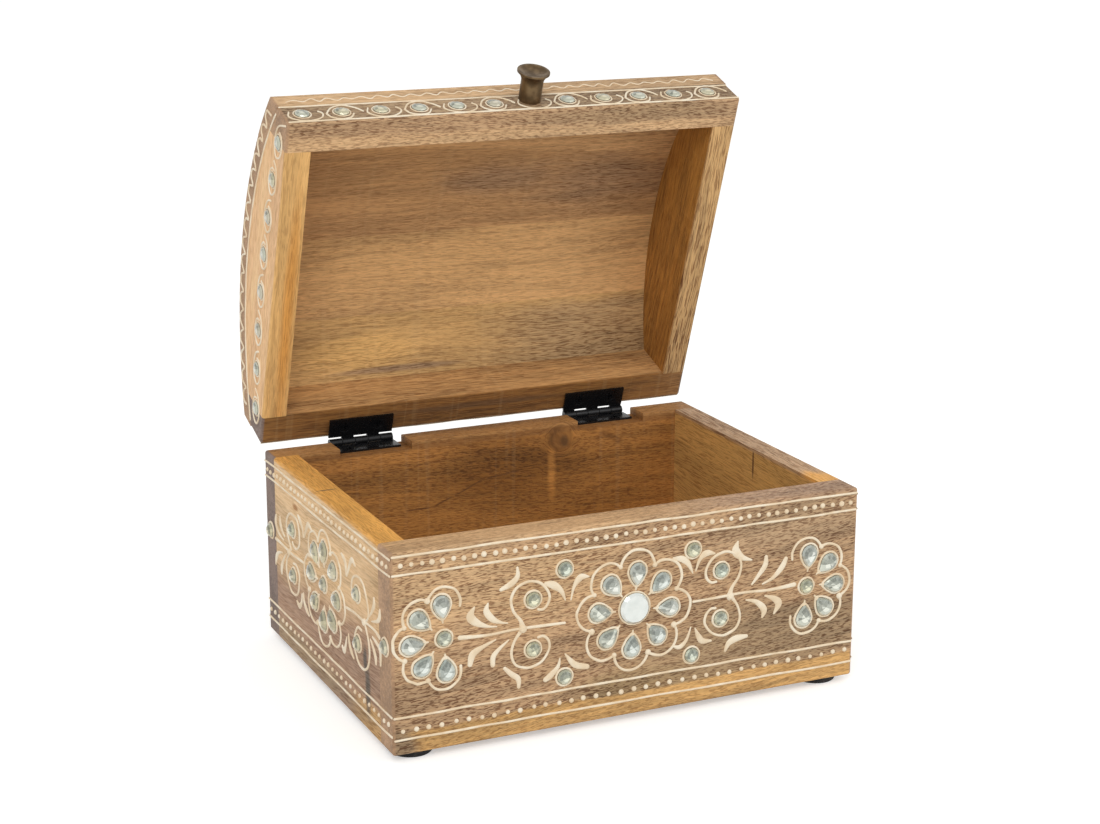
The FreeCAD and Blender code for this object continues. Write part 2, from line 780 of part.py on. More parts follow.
def base_stones():
    petal = petal_stone()
    small = round_stone(size("round_diameter"))
    mirror = round_stone(size("mirror_diameter"))
    middle = size("foot_height") + size("flower_height")
    for name, turn in (("front", 0), ("back", 180)):
        distance = size("box_depth") / 2

        def spot(across, height, angle=0, turn=turn, distance=distance):
            return upright(turn, distance, across, height, angle)

        petals, rounds, centres = long_motif(spot, middle)
        stone_set(f"{name}_petal_stones", petal, petals, node)
        stone_set(f"{name}_round_stones", small, rounds, node)
        stone_set(f"{name}_mirror_disc", mirror, centres, node)
    for name, turn in (("left", 270), ("right", 90)):
        distance = size("box_width") / 2

        def spot(across, height, angle=0, turn=turn, distance=distance):
            return upright(turn, distance, across, height, angle)

        petals, rounds = short_motif(spot, middle)
        stone_set(f"{name}_petal_stones", petal, petals, node)
        stone_set(f"{name}_round_stones", small, rounds, node)


# Lid stones: one row on each rail and end, and the long motif with corner flowers on the dome
def lid_stones():
    petal = petal_stone()
    small = round_stone(size("round_diameter"))
    row_stone = round_stone(size("lid_round_diameter"))
    mirror = round_stone(size("mirror_diameter"))
    rail_height = size("lid_rim") + size("lid_stone_height")
    pitch = 2 * (size("lid_half_width") - size("lid_stone_inset")) / (LID_STONE_COUNT - 1)
    half_depth = size("lid_half_depth")
    front = []
    back = []
    for number in range(LID_STONE_COUNT):
        if number != KNOB_STONE_INDEX:
            across = size("knob_shift") + (number - KNOB_STONE_INDEX) * pitch
            front.append(upright(0, half_depth, across, rail_height))
        back.append(upright(180, half_depth, (number - (LID_STONE_COUNT - 1) / 2) * pitch, rail_height))
    stone_set("lid_front_stones", row_stone, front, lid_node)
    stone_set("lid_back_stones", row_stone, back, lid_node)
    reach = half_depth - size("lid_end_stone_inset")
    for name, turn in (("left", 270), ("right", 90)):
        row = []
        for number in range(LID_END_STONE_COUNT):
            across = reach * (2 * number / (LID_END_STONE_COUNT - 1) - 1)
            arch = size("dome_centre") + math.sqrt(size("frame_radius") ** 2 - across ** 2)
            height = size("lid_rim") + size("lid_end_stone_share") * (arch - size("lid_rim"))
            row.append(upright(turn, size("lid_half_width"), across, height))
        stone_set(f"lid_{name}_stones", small, row, lid_node)
    petals, rounds, centres = long_motif(on_dome, 0)
    for x_sign in SIDES.values():
        for y_sign in SIDES.values():
            across = x_sign * size("top_corner_offset")
            along = y_sign * size("top_corner_reach")
            angles = half_flower_angles(math.degrees(math.atan2(y_sign, x_sign)))
            petals += ring_spots(on_dome, across, along, size("half_flower_ring"), angles)
            rounds.append(on_dome(across, along))
    stone_set("lid_top_petal_stones", petal, petals, lid_node)
    stone_set("lid_top_round_stones", small, rounds, lid_node)
    stone_set("lid_top_mirror_disc", mirror, centres, lid_node)


def build():
    base_heights = ["foot_height + base_dowel_low", "foot_height + base_dowel_high"]
    base_pins, base_holes = corner_dowels(
        "base_dowel", "box_width / 2 - end_wall / 2", "inner_half_depth", base_heights
    )
    node("base_corner_dowels", group("base_dowels", base_pins))
    lid_heights = ["lid_rim + lid_dowel_height"]
    lid_pins, lid_holes = corner_dowels(
        "lid_dowel", "lid_half_width - end_wall / 2", "(lid_half_depth - long_wall)", lid_heights
    )
    lid_node("lid_corner_dowels", group("lid_dowels", lid_pins))
    brad_holes = bottom_brads()
    mortises = []
    base_voids = []
    lid_voids = []
    for side, sign in SIDES.items():
        lid_owned = (1, 3) if side == "left" else (0, 2, 4)
        mortise, voids = hinge(side, sign, lid_owned)
        mortises.append(mortise)
        base_voids += voids["base"]
        lid_voids += voids["lid"]
    base_panels(base_holes, brad_holes, mortises, base_voids)
    bottom_board(brad_holes)
    feet()
    lid_frame(lid_holes, knob_hole(), lid_voids)
    dome_boards()
    knob()
    base_stones()
    lid_stones()
    doc.recompute()


def check_and_export():
    faults = [item.Name for item in doc.Objects if "Invalid" in item.State or "Error" in item.State]
    for name, piece in nodes.items():
        if piece.Shape.isNull() or not piece.Shape.isValid() or not piece.Shape.Solids:
            faults.append(name)
    if faults:
        raise RuntimeError("faulty pieces: " + ", ".join(faults))
    os.makedirs("parts", exist_ok=True)
    for name, piece in nodes.items():
        piece.Shape.exportStep(f"parts/{name}.step")
        print(f"{name}: {len(piece.Shape.Solids)} solids, {piece.Shape.Volume:.1f} mm3")


build()
check_and_export()
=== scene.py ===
# Looks of the wooden jewelry box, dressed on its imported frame
import json
import random
from math import asin, atan2, cos, dist, hypot, pi, radians, sin

import bpy
from mathutils import Matrix, Vector, geometry


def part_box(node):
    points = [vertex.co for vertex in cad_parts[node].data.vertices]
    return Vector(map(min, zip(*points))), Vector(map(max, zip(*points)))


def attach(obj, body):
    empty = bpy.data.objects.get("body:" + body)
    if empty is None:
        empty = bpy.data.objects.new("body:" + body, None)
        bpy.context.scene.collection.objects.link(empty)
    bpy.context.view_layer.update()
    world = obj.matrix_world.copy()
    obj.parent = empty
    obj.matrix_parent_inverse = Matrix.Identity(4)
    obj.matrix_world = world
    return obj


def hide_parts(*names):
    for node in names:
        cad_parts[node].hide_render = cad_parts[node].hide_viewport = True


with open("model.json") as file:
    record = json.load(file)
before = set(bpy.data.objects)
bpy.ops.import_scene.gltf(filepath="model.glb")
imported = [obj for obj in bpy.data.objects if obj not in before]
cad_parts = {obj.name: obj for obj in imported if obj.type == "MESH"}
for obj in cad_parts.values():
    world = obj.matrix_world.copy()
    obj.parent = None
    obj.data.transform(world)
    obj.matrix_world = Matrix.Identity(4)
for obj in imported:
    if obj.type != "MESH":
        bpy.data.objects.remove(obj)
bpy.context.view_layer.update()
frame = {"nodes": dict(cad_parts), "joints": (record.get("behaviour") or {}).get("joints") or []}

MM = 0.001
UP = Vector((0, 0, 1))
NODES = frame["nodes"]
SCENE = bpy.context.scene
HAND = random.Random(11)

# The lid turns about one pin line; CLOSE brings its pieces back to the shut lid, where they are measured
HINGE = frame["joints"][0]
PIN = Vector(HINGE["pos_m"])
OPEN_ANGLE = -radians(HINGE["range_deg"][0])
OPENING = Matrix.Rotation(OPEN_ANGLE, 4, Vector(HINGE["axis"]))
SWING = Matrix.Translation(PIN) @ OPENING @ Matrix.Translation(-PIN)
CLOSE = SWING.inverted()


def closed_box(node):
    places = [CLOSE @ vertex.co / MM for vertex in NODES[node].data.vertices]
    return [Vector([limit(values) for values in zip(*places)]) for limit in (min, max)]


# Sizes of the faces in mm, read from the frame
PANEL_LOW, PANEL_HIGH = (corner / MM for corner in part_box("base_front_panel"))
BASE_BOTTOM = PANEL_LOW.z
BASE_HEIGHT = PANEL_HIGH.z - PANEL_LOW.z
BASE_HALF_WIDTH = PANEL_HIGH.x
BASE_HALF_DEPTH = -PANEL_LOW.y
RAIL_LOW, RAIL_HIGH = closed_box("lid_front_rail")
LID_RIM = RAIL_LOW.z
LID_HALF_WIDTH = RAIL_HIGH.x
LID_HALF_DEPTH = -RAIL_LOW.y
DOME_TOP = closed_box("lid_top_board_middle")[1].z
DOME_RISE = 20.7
DOME_RADIUS = (LID_HALF_DEPTH ** 2 + DOME_RISE ** 2) / (2 * DOME_RISE)
DOME_CENTRE = DOME_TOP - DOME_RADIUS
DOME_BOARD = 8.5
KNOB_ACROSS = sum(corner.x for corner in closed_box("lid_knob")) / 2


# Colours are written as they look on a screen, 0 to 255
def srgb(red, green, blue):
    linear = []
    for value in (red, green, blue):
        share = value / 255
        linear.append(share / 12.92 if share <= 0.04045 else ((share + 0.055) / 1.055) ** 2.4)
    return (*linear, 1.0)


# A node tree, with short calls that add to it
class Tree:
    def __init__(self, tree):
        self.nodes = tree.nodes
        self.links = tree.links

    def put(self, socket, value):
        if isinstance(value, bpy.types.NodeSocket):
            self.links.new(value, socket)
        else:
            socket.default_value = value

    # One output of a new node with these settings and inputs
    def add(self, kind, inputs, output=0, **settings):
        node = self.nodes.new(f"ShaderNode{kind}")
        for name, value in settings.items():
            setattr(node, name, value)
        for name, value in inputs.items():
            self.put(node.inputs[name], value)
        return node.outputs[output]

    def math(self, operation, first, second=0.0):
        return self.add("Math", {0: first, 1: second}, operation=operation)

    def times(self, first, second):
        return self.math("MULTIPLY", first, second)


# One material, with short calls for the nodes that it uses
class Look(Tree):
    def __init__(self, name):
        self.material = bpy.data.materials.new(name)
        self.material.use_nodes = True
        super().__init__(self.material.node_tree)
        self.shader = self.nodes["Principled BSDF"]

    def finish(self, **values):
        for name, value in values.items():
            self.put(self.shader.inputs[name.replace("_", " ")], value)
        return self.material

    def vector(self, operation, first, second=(0, 0, 0)):
        output = "Value" if operation in ("LENGTH", "DOT_PRODUCT") else "Vector"
        return self.add("VectorMath", {0: first, 1: second}, output, operation=operation)

    def scaled(self, place, factors):
        return self.vector("MULTIPLY", place, factors)

    # First times share plus rest
    def sum(self, first, share, rest):
        return self.add("Math", {0: first, 1: share, 2: rest}, operation="MULTIPLY_ADD")

    def mix(self, share, first, second):
        return self.add("Mix", {0: share, 2: first, 3: second})

    # Grain that flows round a knot
    def bent(self, flow, spot, centre, radius):
        offset = self.scaled(self.vector("SUBTRACT", spot, centre), (1, 0, 1))
        far = self.math("POWER", self.vector("LENGTH", offset), 2.0)
        pull = self.math("DIVIDE", -radius ** 2, self.math("MAXIMUM", far, radius ** 2))
        return self.vector("ADD", flow, self.add("VectorMath", {0: offset, "Scale": pull}, operation="SCALE"))

    def noise(self, place, scale, detail=2.0, roughness=0.5, output="Fac"):
        inputs = {"Vector": place, "Scale": scale, "Detail": detail, "Roughness": roughness}
        return self.add("TexNoise", inputs, output)

    def span(self, value, low, high, out_low=0.0, out_high=1.0):
        inputs = {"Value": value, "From Min": low, "From Max": high, "To Min": out_low, "To Max": out_high}
        return self.add("MapRange", inputs, interpolation_type="SMOOTHSTEP")

    def blend(self, share, first, second, mode="MIX"):
        return self.add("Mix", {0: share, 6: first, 7: second}, 2, data_type="RGBA", blend_type=mode)

    def ramp(self, value, tones):
        node = self.nodes.new("ShaderNodeValToRGB")
        stops = node.color_ramp.elements
        while len(stops) < len(tones):
            stops.new(0.5)
        for index, tone in enumerate(tones):
            stops[index].position = index / (len(tones) - 1)
            stops[index].color = srgb(*tone)
        self.put(node.inputs["Fac"], value)
        return node.outputs["Color"]

    def bump(self, height, strength, depth):
        inputs = {"Height": height, "Strength": strength, "Distance": depth}
        self.put(self.shader.inputs["Normal"], self.add("Bump", inputs, "Normal"))

    # The place on the object in mm, on the lid with the lid shut
    def place(self, body="base"):
        spot = self.add("TexCoord", {}, "Object")
        if body == "lid":
            shutting = {"Vector": spot, "Center": PIN, "Axis": HINGE["axis"], "Angle": -OPEN_ANGLE}
            spot = self.add("VectorRotate", shutting, "Vector")
        return self.scaled(spot, (1 / MM, 1 / MM, 1 / MM))


# Zones of a board: each mask is made from the place in mm and a wobble that frays its edge
def beyond(normal, level, soft=0.6, fray=0.0):
    def mask(look, spot, wobble):
        reach = look.vector("DOT_PRODUCT", spot, normal)
        return look.span(look.sum(wobble, fray, reach), level - soft, level + soft)
    return mask


def patch(centre, reach, soft=0.5, fray=1.2):
    def mask(look, spot, wobble):
        offset = look.vector("DIVIDE", look.vector("SUBTRACT", spot, centre), reach)
        far = look.vector("LENGTH", offset)
        return look.span(look.sum(wobble, fray, far), 1 + soft, 1 - soft)
    return mask


# A line on a wall that faces the front or the back
def stripe(start, end, half, fray=2.0):
    run = Vector(end) - Vector(start)
    length = run.length
    run.normalize()
    side = Vector((-run.z, 0, run.x))

    def mask(look, spot, wobble):
        offset = look.vector("SUBTRACT", spot, start)
        along = look.vector("DOT_PRODUCT", offset, run)
        off = look.math("ABSOLUTE", look.sum(wobble, fray, look.vector("DOT_PRODUCT", offset, side)))
        ends = look.times(look.span(along, 0.0, 3.0), look.span(along, length, length - 3.0))
        return look.times(look.span(off, 2 * half, 0.5 * half), ends)
    return mask


def dome_outside(look, spot, wobble):
    offset = look.vector("SUBTRACT", spot, (0, 0, DOME_CENTRE))
    reach = look.vector("LENGTH", look.scaled(offset, (0, 1, 1)))
    return look.span(reach, DOME_RADIUS - 1.7, DOME_RADIUS - 0.7)


def both(first, second):
    def mask(look, spot, wobble):
        return look.times(first(look, spot, wobble), second(look, spot, wobble))
    return mask


def stretched(grain, share, scale=1.0):
    factors = [scale, scale, scale]
    factors["xyz".index(grain)] = scale * share
    return tuple(factors)


# Dark, middle and pale shade of a wood colour
def shades(colour, spread):
    steps = (1 - spread, 1.0, 1 + 0.8 * spread)
    return tuple(tuple(min(250, value * share) for value in colour) for share in steps)


# Pores as (scale across the grain, share of it along the grain, strength)
SHORT_PORES = (2.3, 0.16, 0.9)
LONG_PORES = (2.1, 0.05, 0.65)
SIDE_PORES = (2.1, 0.05, 0.45)
FAINT_PORES = (1.9, 0.07, 0.3)
CEILING_PORES = (2.7, 0.07, 0.42)
PORE_TINT = (150, 124, 108)
HAIR_TINT = (182, 158, 138)
SAW_TINT = (246, 214, 164)

# Noises of the grain as (share of the scale along the grain, scale, detail, roughness)
BROAD_BANDS = (0.1, 0.08, 3.0)
FINE_LINES = (0.03, 0.7, 4.0, 0.65)
HAIR_LINES = (0.08, 3.2, 1.0)
FRAYED_EDGES = (0.3, 0.11)
# Sways of the grain as (scale, reach in mm)
SWAYS = ((0.02, 5.0), (0.13, 0.8))


# Plain-sawn hardwood: broad bands, fine lines, saw marks and open pores that run with the grain
def wood(
    name, body, grain, colour, zones=(), pores=SHORT_PORES, slant=("Y_AXIS", 0.0), saw=0.02, knot=None,
    spread=0.13,
):
    look = Look(name)
    spot = look.place(body)
    lean = {"Vector": spot, "Angle": radians(slant[1])}
    flow = look.add("VectorRotate", lean, "Vector", rotation_type=slant[0])

    def drawn(share, scale, detail=2.0, roughness=0.5, output="Fac"):
        place = look.scaled(flow, stretched(grain, share))
        return look.noise(place, scale, detail, roughness, output)

    for scale, reach in SWAYS:
        sway = look.vector("SUBTRACT", drawn(0.4, scale, output="Color"), (0.5, 0.5, 0.5))
        flow = look.vector("ADD", flow, look.scaled(sway, stretched(grain, 0.0, 2 * reach)))
    if knot:
        flow = look.bent(flow, spot, *knot)
    broad = drawn(*BROAD_BANDS)
    lines = drawn(*FINE_LINES)
    fine = drawn(*HAIR_LINES)
    dashes = drawn(pores[1], pores[0], 1.5)
    wobble = look.math("SUBTRACT", drawn(*FRAYED_EDGES), 0.5)
    marks = look.noise(look.scaled(spot, stretched(grain, 33.0, 0.03)), 0.35, 3.0)
    tone = look.span(look.math("ADD", broad, lines), 0.74, 1.26)
    paint = look.ramp(tone, shades(colour, spread))
    strength = pores[2]
    for mask, zone_colour, zone_strength in zones:
        cover = mask(look, spot, wobble)
        paint = look.blend(cover, paint, look.ramp(tone, shades(zone_colour, spread)))
        strength = look.mix(cover, strength, zone_strength)
    crowd = look.span(broad, 0.64, 0.4, 0.7, 1.0)
    pore = look.times(look.span(dashes, 0.48, 0.61), crowd)
    paint = look.blend(look.times(pore, strength), paint, srgb(*PORE_TINT), "MULTIPLY")
    paint = look.blend(look.span(fine, 0.42, 0.62, 0.0, 1.7 * spread), paint, srgb(*HAIR_TINT), "MULTIPLY")
    paint = look.blend(look.span(marks, 0.56, 0.68, 0.0, saw), paint, srgb(*SAW_TINT))
    relief = look.math("SUBTRACT", lines, pore)
    look.bump(relief, 0.35, 0.00025)
    return look.finish(
        Base_Color=paint,
        Roughness=look.span(relief, -0.4, 0.7, 0.72, 0.5),
        Specular_IOR_Level=0.3,
    )


# Colours of the woods
GREY_BROWN = (193, 158, 120)
TAN = (212, 175, 131)
GREY_TAN = (166, 139, 101)
GREY_DARK = (166, 139, 106)
GOLD = (214, 169, 107)
ORANGE = (234, 174, 90)
PINK_BROWN = (177, 141, 113)
PALE_TAN = (228, 192, 145)
MAUVE = (180, 144, 111)
GREY_MAUVE = (128, 108, 98)
DARK_STREAK = (98, 84, 70)
PEACH = (246, 198, 146)
HONEY = (196, 152, 100)
AMBER = (172, 121, 63)
BROWN = (148, 104, 58)
UMBER = (122, 90, 58)

FRONT_Y = -BASE_HALF_DEPTH
LEFT_X = -BASE_HALF_WIDTH
WELL_BACK = 62
LONG_INSIDE = -BASE_HALF_DEPTH + 11.0
SIDE_INSIDE = LEFT_X + 8.5
LID_END_INSIDE = -LID_HALF_WIDTH + 8.5
TO_LEFT = (-1, 0, 0)
TO_RIGHT = (1, 0, 0)
TO_BACK = (0, 1, 0)
TO_FRONT = (0, -1, 0)
TO_TOP = (0, 0, 1)
TO_FLOOR = (0, 0, -1)
RIM_LEVEL = BASE_BOTTOM + BASE_HEIGHT - 1.4
RIM = beyond(TO_TOP, RIM_LEVEL)
LID_RIM_FACE = beyond(TO_FLOOR, -(LID_RIM + 1.2))
LOW_STRIP = beyond((0.008, 0, -1), -(BASE_BOTTOM + 9.6), 0.8, 4.0)
RIGHT_WELL_WALL = beyond(TO_LEFT, SIDE_INSIDE)
KNOT = (32.3, WELL_BACK, 76.3)

# A dark line on the well's back wall and an arc beside its knot, as (across, height) points
WELL_LINE = ((-42, 52), (-29, 52), (-19, 56), (-4, 62), (13, 64))
KNOT_ARC = ((40, 81), (51, 78), (64, 70), (67, 65))


def stripes(course, half, colour):
    spots = [(across, WELL_BACK, height) for across, height in course]
    return [(stripe(start, end, half), colour, 0.5) for start, end in zip(spots, spots[1:])]


# The same zone at two ends of a board
def at_ends(ways, half, soft, colour, strength):
    return [(beyond(way, half, soft), colour, strength) for way in ways]


def end_grain(half, colour, strength=0.0):
    return at_ends((TO_LEFT, TO_RIGHT), half - 1.0, 0.4, colour, strength)


# The look of each slot
LOOKS = {"dowel_wood": wood("dowel", "base", "x", TAN, pores=FAINT_PORES)}


def board(name, *about, **more):
    LOOKS[f"wood_{name}"] = wood(name, *about, **more)


board("front_panel", "base", "x", GREY_BROWN, slant=("Y_AXIS", 4.0), zones=[
    (patch((-58, FRONT_Y, 64), (60, 30, 14)), TAN, 0.85),
    (patch((14, FRONT_Y, 15), (40, 30, 7)), GREY_TAN, 0.95),
    (patch((66, FRONT_Y, 26), (50, 30, 13)), GREY_DARK, 0.95),
    (patch((72, FRONT_Y, 72), (30, 30, 9)), (180, 150, 116), 0.9),
    (LOW_STRIP, GOLD, 0.5),
    (patch((-100, FRONT_Y, 5), (9, 30, 9), 0.4, 0.8), GREY_DARK, 0.9),
    (beyond(TO_BACK, LONG_INSIDE), HONEY, 0.5),
    (RIM, (204, 167, 124), 0.6),
    (both(RIM, beyond(TO_RIGHT, 30.0, 40.0, 30.0)), (186, 152, 120), 0.8),
    *end_grain(BASE_HALF_WIDTH, MAUVE),
])
board("left_panel", "base", "y", PINK_BROWN, pores=SIDE_PORES, slant=("X_AXIS", 3.0), spread=0.08, zones=[
    (beyond((0, 0.103, 1), 41.0, 10.0, 12.0), PALE_TAN, 0.25),
    (patch((LEFT_X, -66, 62), (16, 20, 16)), (216, 179, 132), 0.3),
    (patch((LEFT_X, -62, 8), (20, 30, 7)), GOLD, 0.5),
    (patch((LEFT_X, 30, 8), (20, 60, 5)), GREY_DARK, 0.6),
    (patch((LEFT_X, -46, 31), (16, 2.0, 5), 0.5, 0.8), DARK_STREAK, 0.3),
    (patch((LEFT_X, -48.5, 20), (16, 2.6, 9), 0.5, 0.8), DARK_STREAK, 0.3),
    (patch((LEFT_X, 35, 69), (16, 3.0, 1.3), 0.5, 0.5), AMBER, 0.3),
    (beyond(TO_RIGHT, SIDE_INSIDE), (178, 129, 65), 0.5),
    (RIM, ORANGE, 0.4),
    (both(RIM, patch((-95, 9.3, 82), (4.5, 0.5, 6), 0.4, 0.5)), DARK_STREAK, 0.2),
])
board("right_panel", "base", "y", PINK_BROWN, pores=SIDE_PORES, slant=("X_AXIS", -3.0), spread=0.08, zones=[
    (beyond((0, -0.06, 1), 46.0, 10.0, 12.0), PALE_TAN, 0.25),
    (patch((-LEFT_X, 40, 9), (20, 50, 6)), GOLD, 0.5),
    (RIGHT_WELL_WALL, (214, 169, 100), 0.5),
    (both(RIGHT_WELL_WALL, patch((90, -9, 77), (6, 0.7, 7), 0.4, 0.4)), UMBER, 0.3),
    (RIM, GREY_BROWN, 0.7),
    (both(RIM, patch((95, -58, 82), (8, 9, 6))), ORANGE, 0.4),
])
board("back_panel", "base", "x", GREY_BROWN, slant=("Y_AXIS", -3.0), saw=0.045, knot=(KNOT, 6.0), zones=[
    (patch((30, -FRONT_Y, 62), (60, 12, 13)), TAN, 0.85),
    (patch((-50, -FRONT_Y, 22), (50, 12, 9)), GREY_DARK, 0.95),
    (LOW_STRIP, GOLD, 0.5),
    (beyond(TO_FRONT, LONG_INSIDE), AMBER, 0.6),
    (patch((-22, WELL_BACK, 80), (74, 4, 9), 0.6), (184, 129, 68), 0.6),
    (patch((8, WELL_BACK, 64), (30, 4, 15), 0.6), (140, 95, 46), 0.7),
    (patch((28, WELL_BACK, 61), (1.9, 4, 12), 0.6, 0.5), (194, 136, 70), 0.2),
    (patch(KNOT, (5.6, 4, 5.4), 0.25, 0.7), (122, 83, 44), 0.3),
    (patch((33.0, WELL_BACK, 75.8), (4.4, 4, 4.4), 0.25, 0.7), (160, 112, 60), 0.3),
    (patch((34.2, WELL_BACK, 74.6), (2.0, 4, 2.6), 0.5, 0.9), (116, 82, 48), 0.3),
    *stripes(WELL_LINE, 0.28, (116, 78, 42)),
    *stripes(KNOT_ARC, 1.2, (146, 100, 51)),
    (both(beyond(TO_TOP, RIM_LEVEL - 2.6), beyond(TO_FRONT, -BASE_HALF_DEPTH + 1.0)), BROWN, 0.4),
    (RIM, (178, 132, 80), 0.6),
    *end_grain(BASE_HALF_WIDTH, GREY_MAUVE),
])
board("bottom_board", "base", "x", HONEY, pores=LONG_PORES)
board("lid_front_rail", "lid", "x", GREY_DARK, zones=[
    (LID_RIM_FACE, GREY_BROWN, 0.95),
    (both(LID_RIM_FACE, beyond(TO_BACK, -LID_HALF_DEPTH + 8.0, 2.5, 5.0)), TAN, 0.75),
    (both(LID_RIM_FACE, patch((52, -71, LID_RIM), (42, 4, 6))), (176, 146, 110), 1.0),
    *end_grain(LID_HALF_WIDTH, MAUVE),
])
board("lid_back_rail", "lid", "x", HONEY, pores=LONG_PORES, saw=0.05, zones=[
    (beyond(TO_BACK, LID_HALF_DEPTH - 2.0), GREY_DARK, 0.9),
    (LID_RIM_FACE, (144, 103, 57), 0.6),
    (both(LID_RIM_FACE, patch((0, 67.5, LID_RIM), (42, 1.6, 6), 0.4, 0.9)), UMBER, 0.4),
    *end_grain(LID_HALF_WIDTH, GREY_MAUVE),
])
board("lid_left_end", "lid", "y", PEACH, pores=FAINT_PORES, spread=0.07, zones=[
    (beyond(TO_RIGHT, LID_END_INSIDE), HONEY, 0.5),
    (LID_RIM_FACE, (231, 183, 117), 0.3),
    (both(LID_RIM_FACE, patch((-93.4, 12, LID_RIM), (2.4, 46, 6), 0.6, 0.8)), (230, 165, 86), 0.3),
])
board("lid_right_end", "lid", "y", PEACH, pores=LONG_PORES, zones=[
    (beyond(TO_LEFT, LID_END_INSIDE), (176, 124, 58), 0.5),
    (LID_RIM_FACE, (206, 166, 112), 0.9),
])


# The three boards of the lid's top share their outside and their edges, and differ in the ceiling
def top_board(which, colour, *zones):
    board(f"lid_top_board_{which}", "lid", "x", colour, pores=CEILING_PORES, saw=0.04, spread=0.1, zones=[
        *zones,
        (dome_outside, GREY_BROWN, 0.9),
        *at_ends((TO_FRONT, TO_BACK), LID_HALF_DEPTH - 1.2, 0.5, TAN, 0.5),
        *end_grain(LID_HALF_WIDTH, MAUVE, 0.15),
    ])


top_board(
    "front", (202, 157, 107),
    (beyond((0.09, -1, 0), 42.5, 1.2, 6.0), (216, 171, 119), 0.5),
    (patch((10, -26, 110), (22, 8, 30), 0.7), (178, 143, 107), 0.8),
    (patch((62, -22, 110), (36, 12, 30), 0.7), (176, 140, 103), 0.8),
)
top_board("middle", (219, 174, 118))
top_board(
    "rear", (211, 169, 110),
    (patch((-52, 52, 110), (30, 7, 30)), (222, 178, 112), 0.5),
    (patch((-30, 59.5, 110), (28, 1.3, 30), 0.5, 0.9), (172, 140, 104), 0.6),
    (both(beyond(TO_BACK, 38.0, 3.0, 8.0), beyond(TO_RIGHT, 22.0, 28.0, 20.0)), (192, 158, 112), 0.8),
)


EVEN = (1, 1, 1)


# A plain coat: grain as (stretch, scale, detail), and clouds of a second tone as (stretch, noise, limits)
def coat(name, grain, clouds, tones, relief, roughness, **more):
    look = Look(name)
    spot = look.place()
    fine = look.noise(look.scaled(spot, grain[0]), *grain[1:])
    stretch, noise, limits = clouds
    cover = look.span(look.noise(look.scaled(spot, stretch), *noise), *limits)
    look.bump(fine, *relief)
    LOOKS[name] = look.finish(
        Base_Color=look.blend(cover, srgb(*tones[0]), srgb(*tones[1])),
        Roughness=look.span(fine, 0.3, 0.7, *roughness),
        **more,
    )


def brass_look():
    look = Look("knob_brass")
    spot = look.place("lid")
    patina = look.noise(spot, 0.3, 2.0, 0.4)
    turned = look.noise(look.scaled(spot, (0.15, 1, 0.15)), 3.5, 2.0)
    colour = look.ramp(look.span(patina, 0.34, 0.66), ((90, 72, 49), (101, 81, 56), (116, 95, 67)))
    look.bump(turned, 0.15, 0.0001)
    return look.finish(
        Base_Color=colour,
        Roughness=look.span(patina, 0.3, 0.7, 0.5, 0.34),
        Metallic=0.85,
    )


def mirror_look():
    look = Look("mirror_disc")
    cloud = look.noise(look.place(), 0.25, 3.0)
    return look.finish(
        Base_Color=look.blend(look.span(cloud, 0.35, 0.7), srgb(226, 230, 226), srgb(214, 219, 215)),
        Roughness=look.span(cloud, 0.3, 0.7, 0.1, 0.2),
        Metallic=0.5,
    )


def stone_look():
    look = Look("stone_glass")
    # The colour attribute holds the painted highlights and painted shade of each facet
    facet_light = look.add("VertexColor", {}, "Color", layer_name="facet_light")
    flecks = look.noise(look.place(), 1.4, 2.0)
    return look.finish(
        Base_Color=look.blend(look.span(flecks, 0.4, 0.75, 0.0, 0.25), facet_light, srgb(206, 207, 196)),
        Roughness=look.span(flecks, 0.3, 0.7, 0.08, 0.16),
        Metallic=0.2,
        Coat_Weight=0.6,
        Coat_Roughness=0.04,
    )


def paint_look():
    look = Look("raised_paint")
    spot = look.place()
    batch = look.noise(spot, 0.12, 3.0)
    grit = look.noise(spot, 2.4, 3.0)
    colour = look.ramp(look.span(batch, 0.35, 0.65), ((231, 209, 176), (239, 221, 192), (244, 231, 207)))
    look.bump(grit, 0.3, 0.0001)
    return look.finish(
        Base_Color=look.blend(look.span(grit, 0.5, 0.75, 0.0, 0.3), colour, srgb(220, 196, 162)),
        Roughness=look.span(grit, 0.3, 0.7, 0.45, 0.6),
        Specular_IOR_Level=0.35,
    )


coat(
    "foot_rubber", (EVEN, 2.2, 4.0), (EVEN, (0.35, 3.0), (0.45, 0.7)), ((26, 25, 25), (52, 49, 46)),
    (0.4, 0.0002), (0.62, 0.85), Specular_IOR_Level=0.35,
)
coat(
    "hinge_black", (EVEN, 1.6, 4.0), ((0.3, 1, 1), (1.1, 5.0, 0.7), (0.6, 0.74)),
    ((19, 19, 21), (58, 57, 56)), (0.25, 0.00012), (0.18, 0.32), Metallic=0.35,
)
coat(
    "plain_steel", ((1, 1, 0.1), 6.0, 3.0), (EVEN, (0.6, 3.0), (0.45, 0.7)),
    ((176, 176, 174), (128, 124, 118)), (0.2, 0.00008), (0.25, 0.42), Metallic=1.0,
)
LOOKS.update(knob_brass=brass_look(), mirror_disc=mirror_look(), stone_glass=stone_look())
PAINT = paint_look()

for node in NODES.values():
    node.material_slots[0].material = LOOKS[node.data.materials[0].name]


# A flat face of the box: across and up are mm on it, out is mm off it
class Face:
    def __init__(self, name, body, normal, distance, floor):
        self.name = name
        self.body = body
        self.normal = Vector(normal)
        self.across = UP.cross(self.normal)
        self.distance = distance
        self.floor = floor
        self.matrix = SWING if body == "lid" else Matrix()

    def spot(self, across, up, out):
        place = self.across * across + self.normal * (self.distance + out) + UP * (self.floor + up)
        return self.matrix @ (place * MM)

    def read(self, place):
        shut = self.matrix.inverted() @ place / MM
        return shut.dot(self.across), shut.z - self.floor


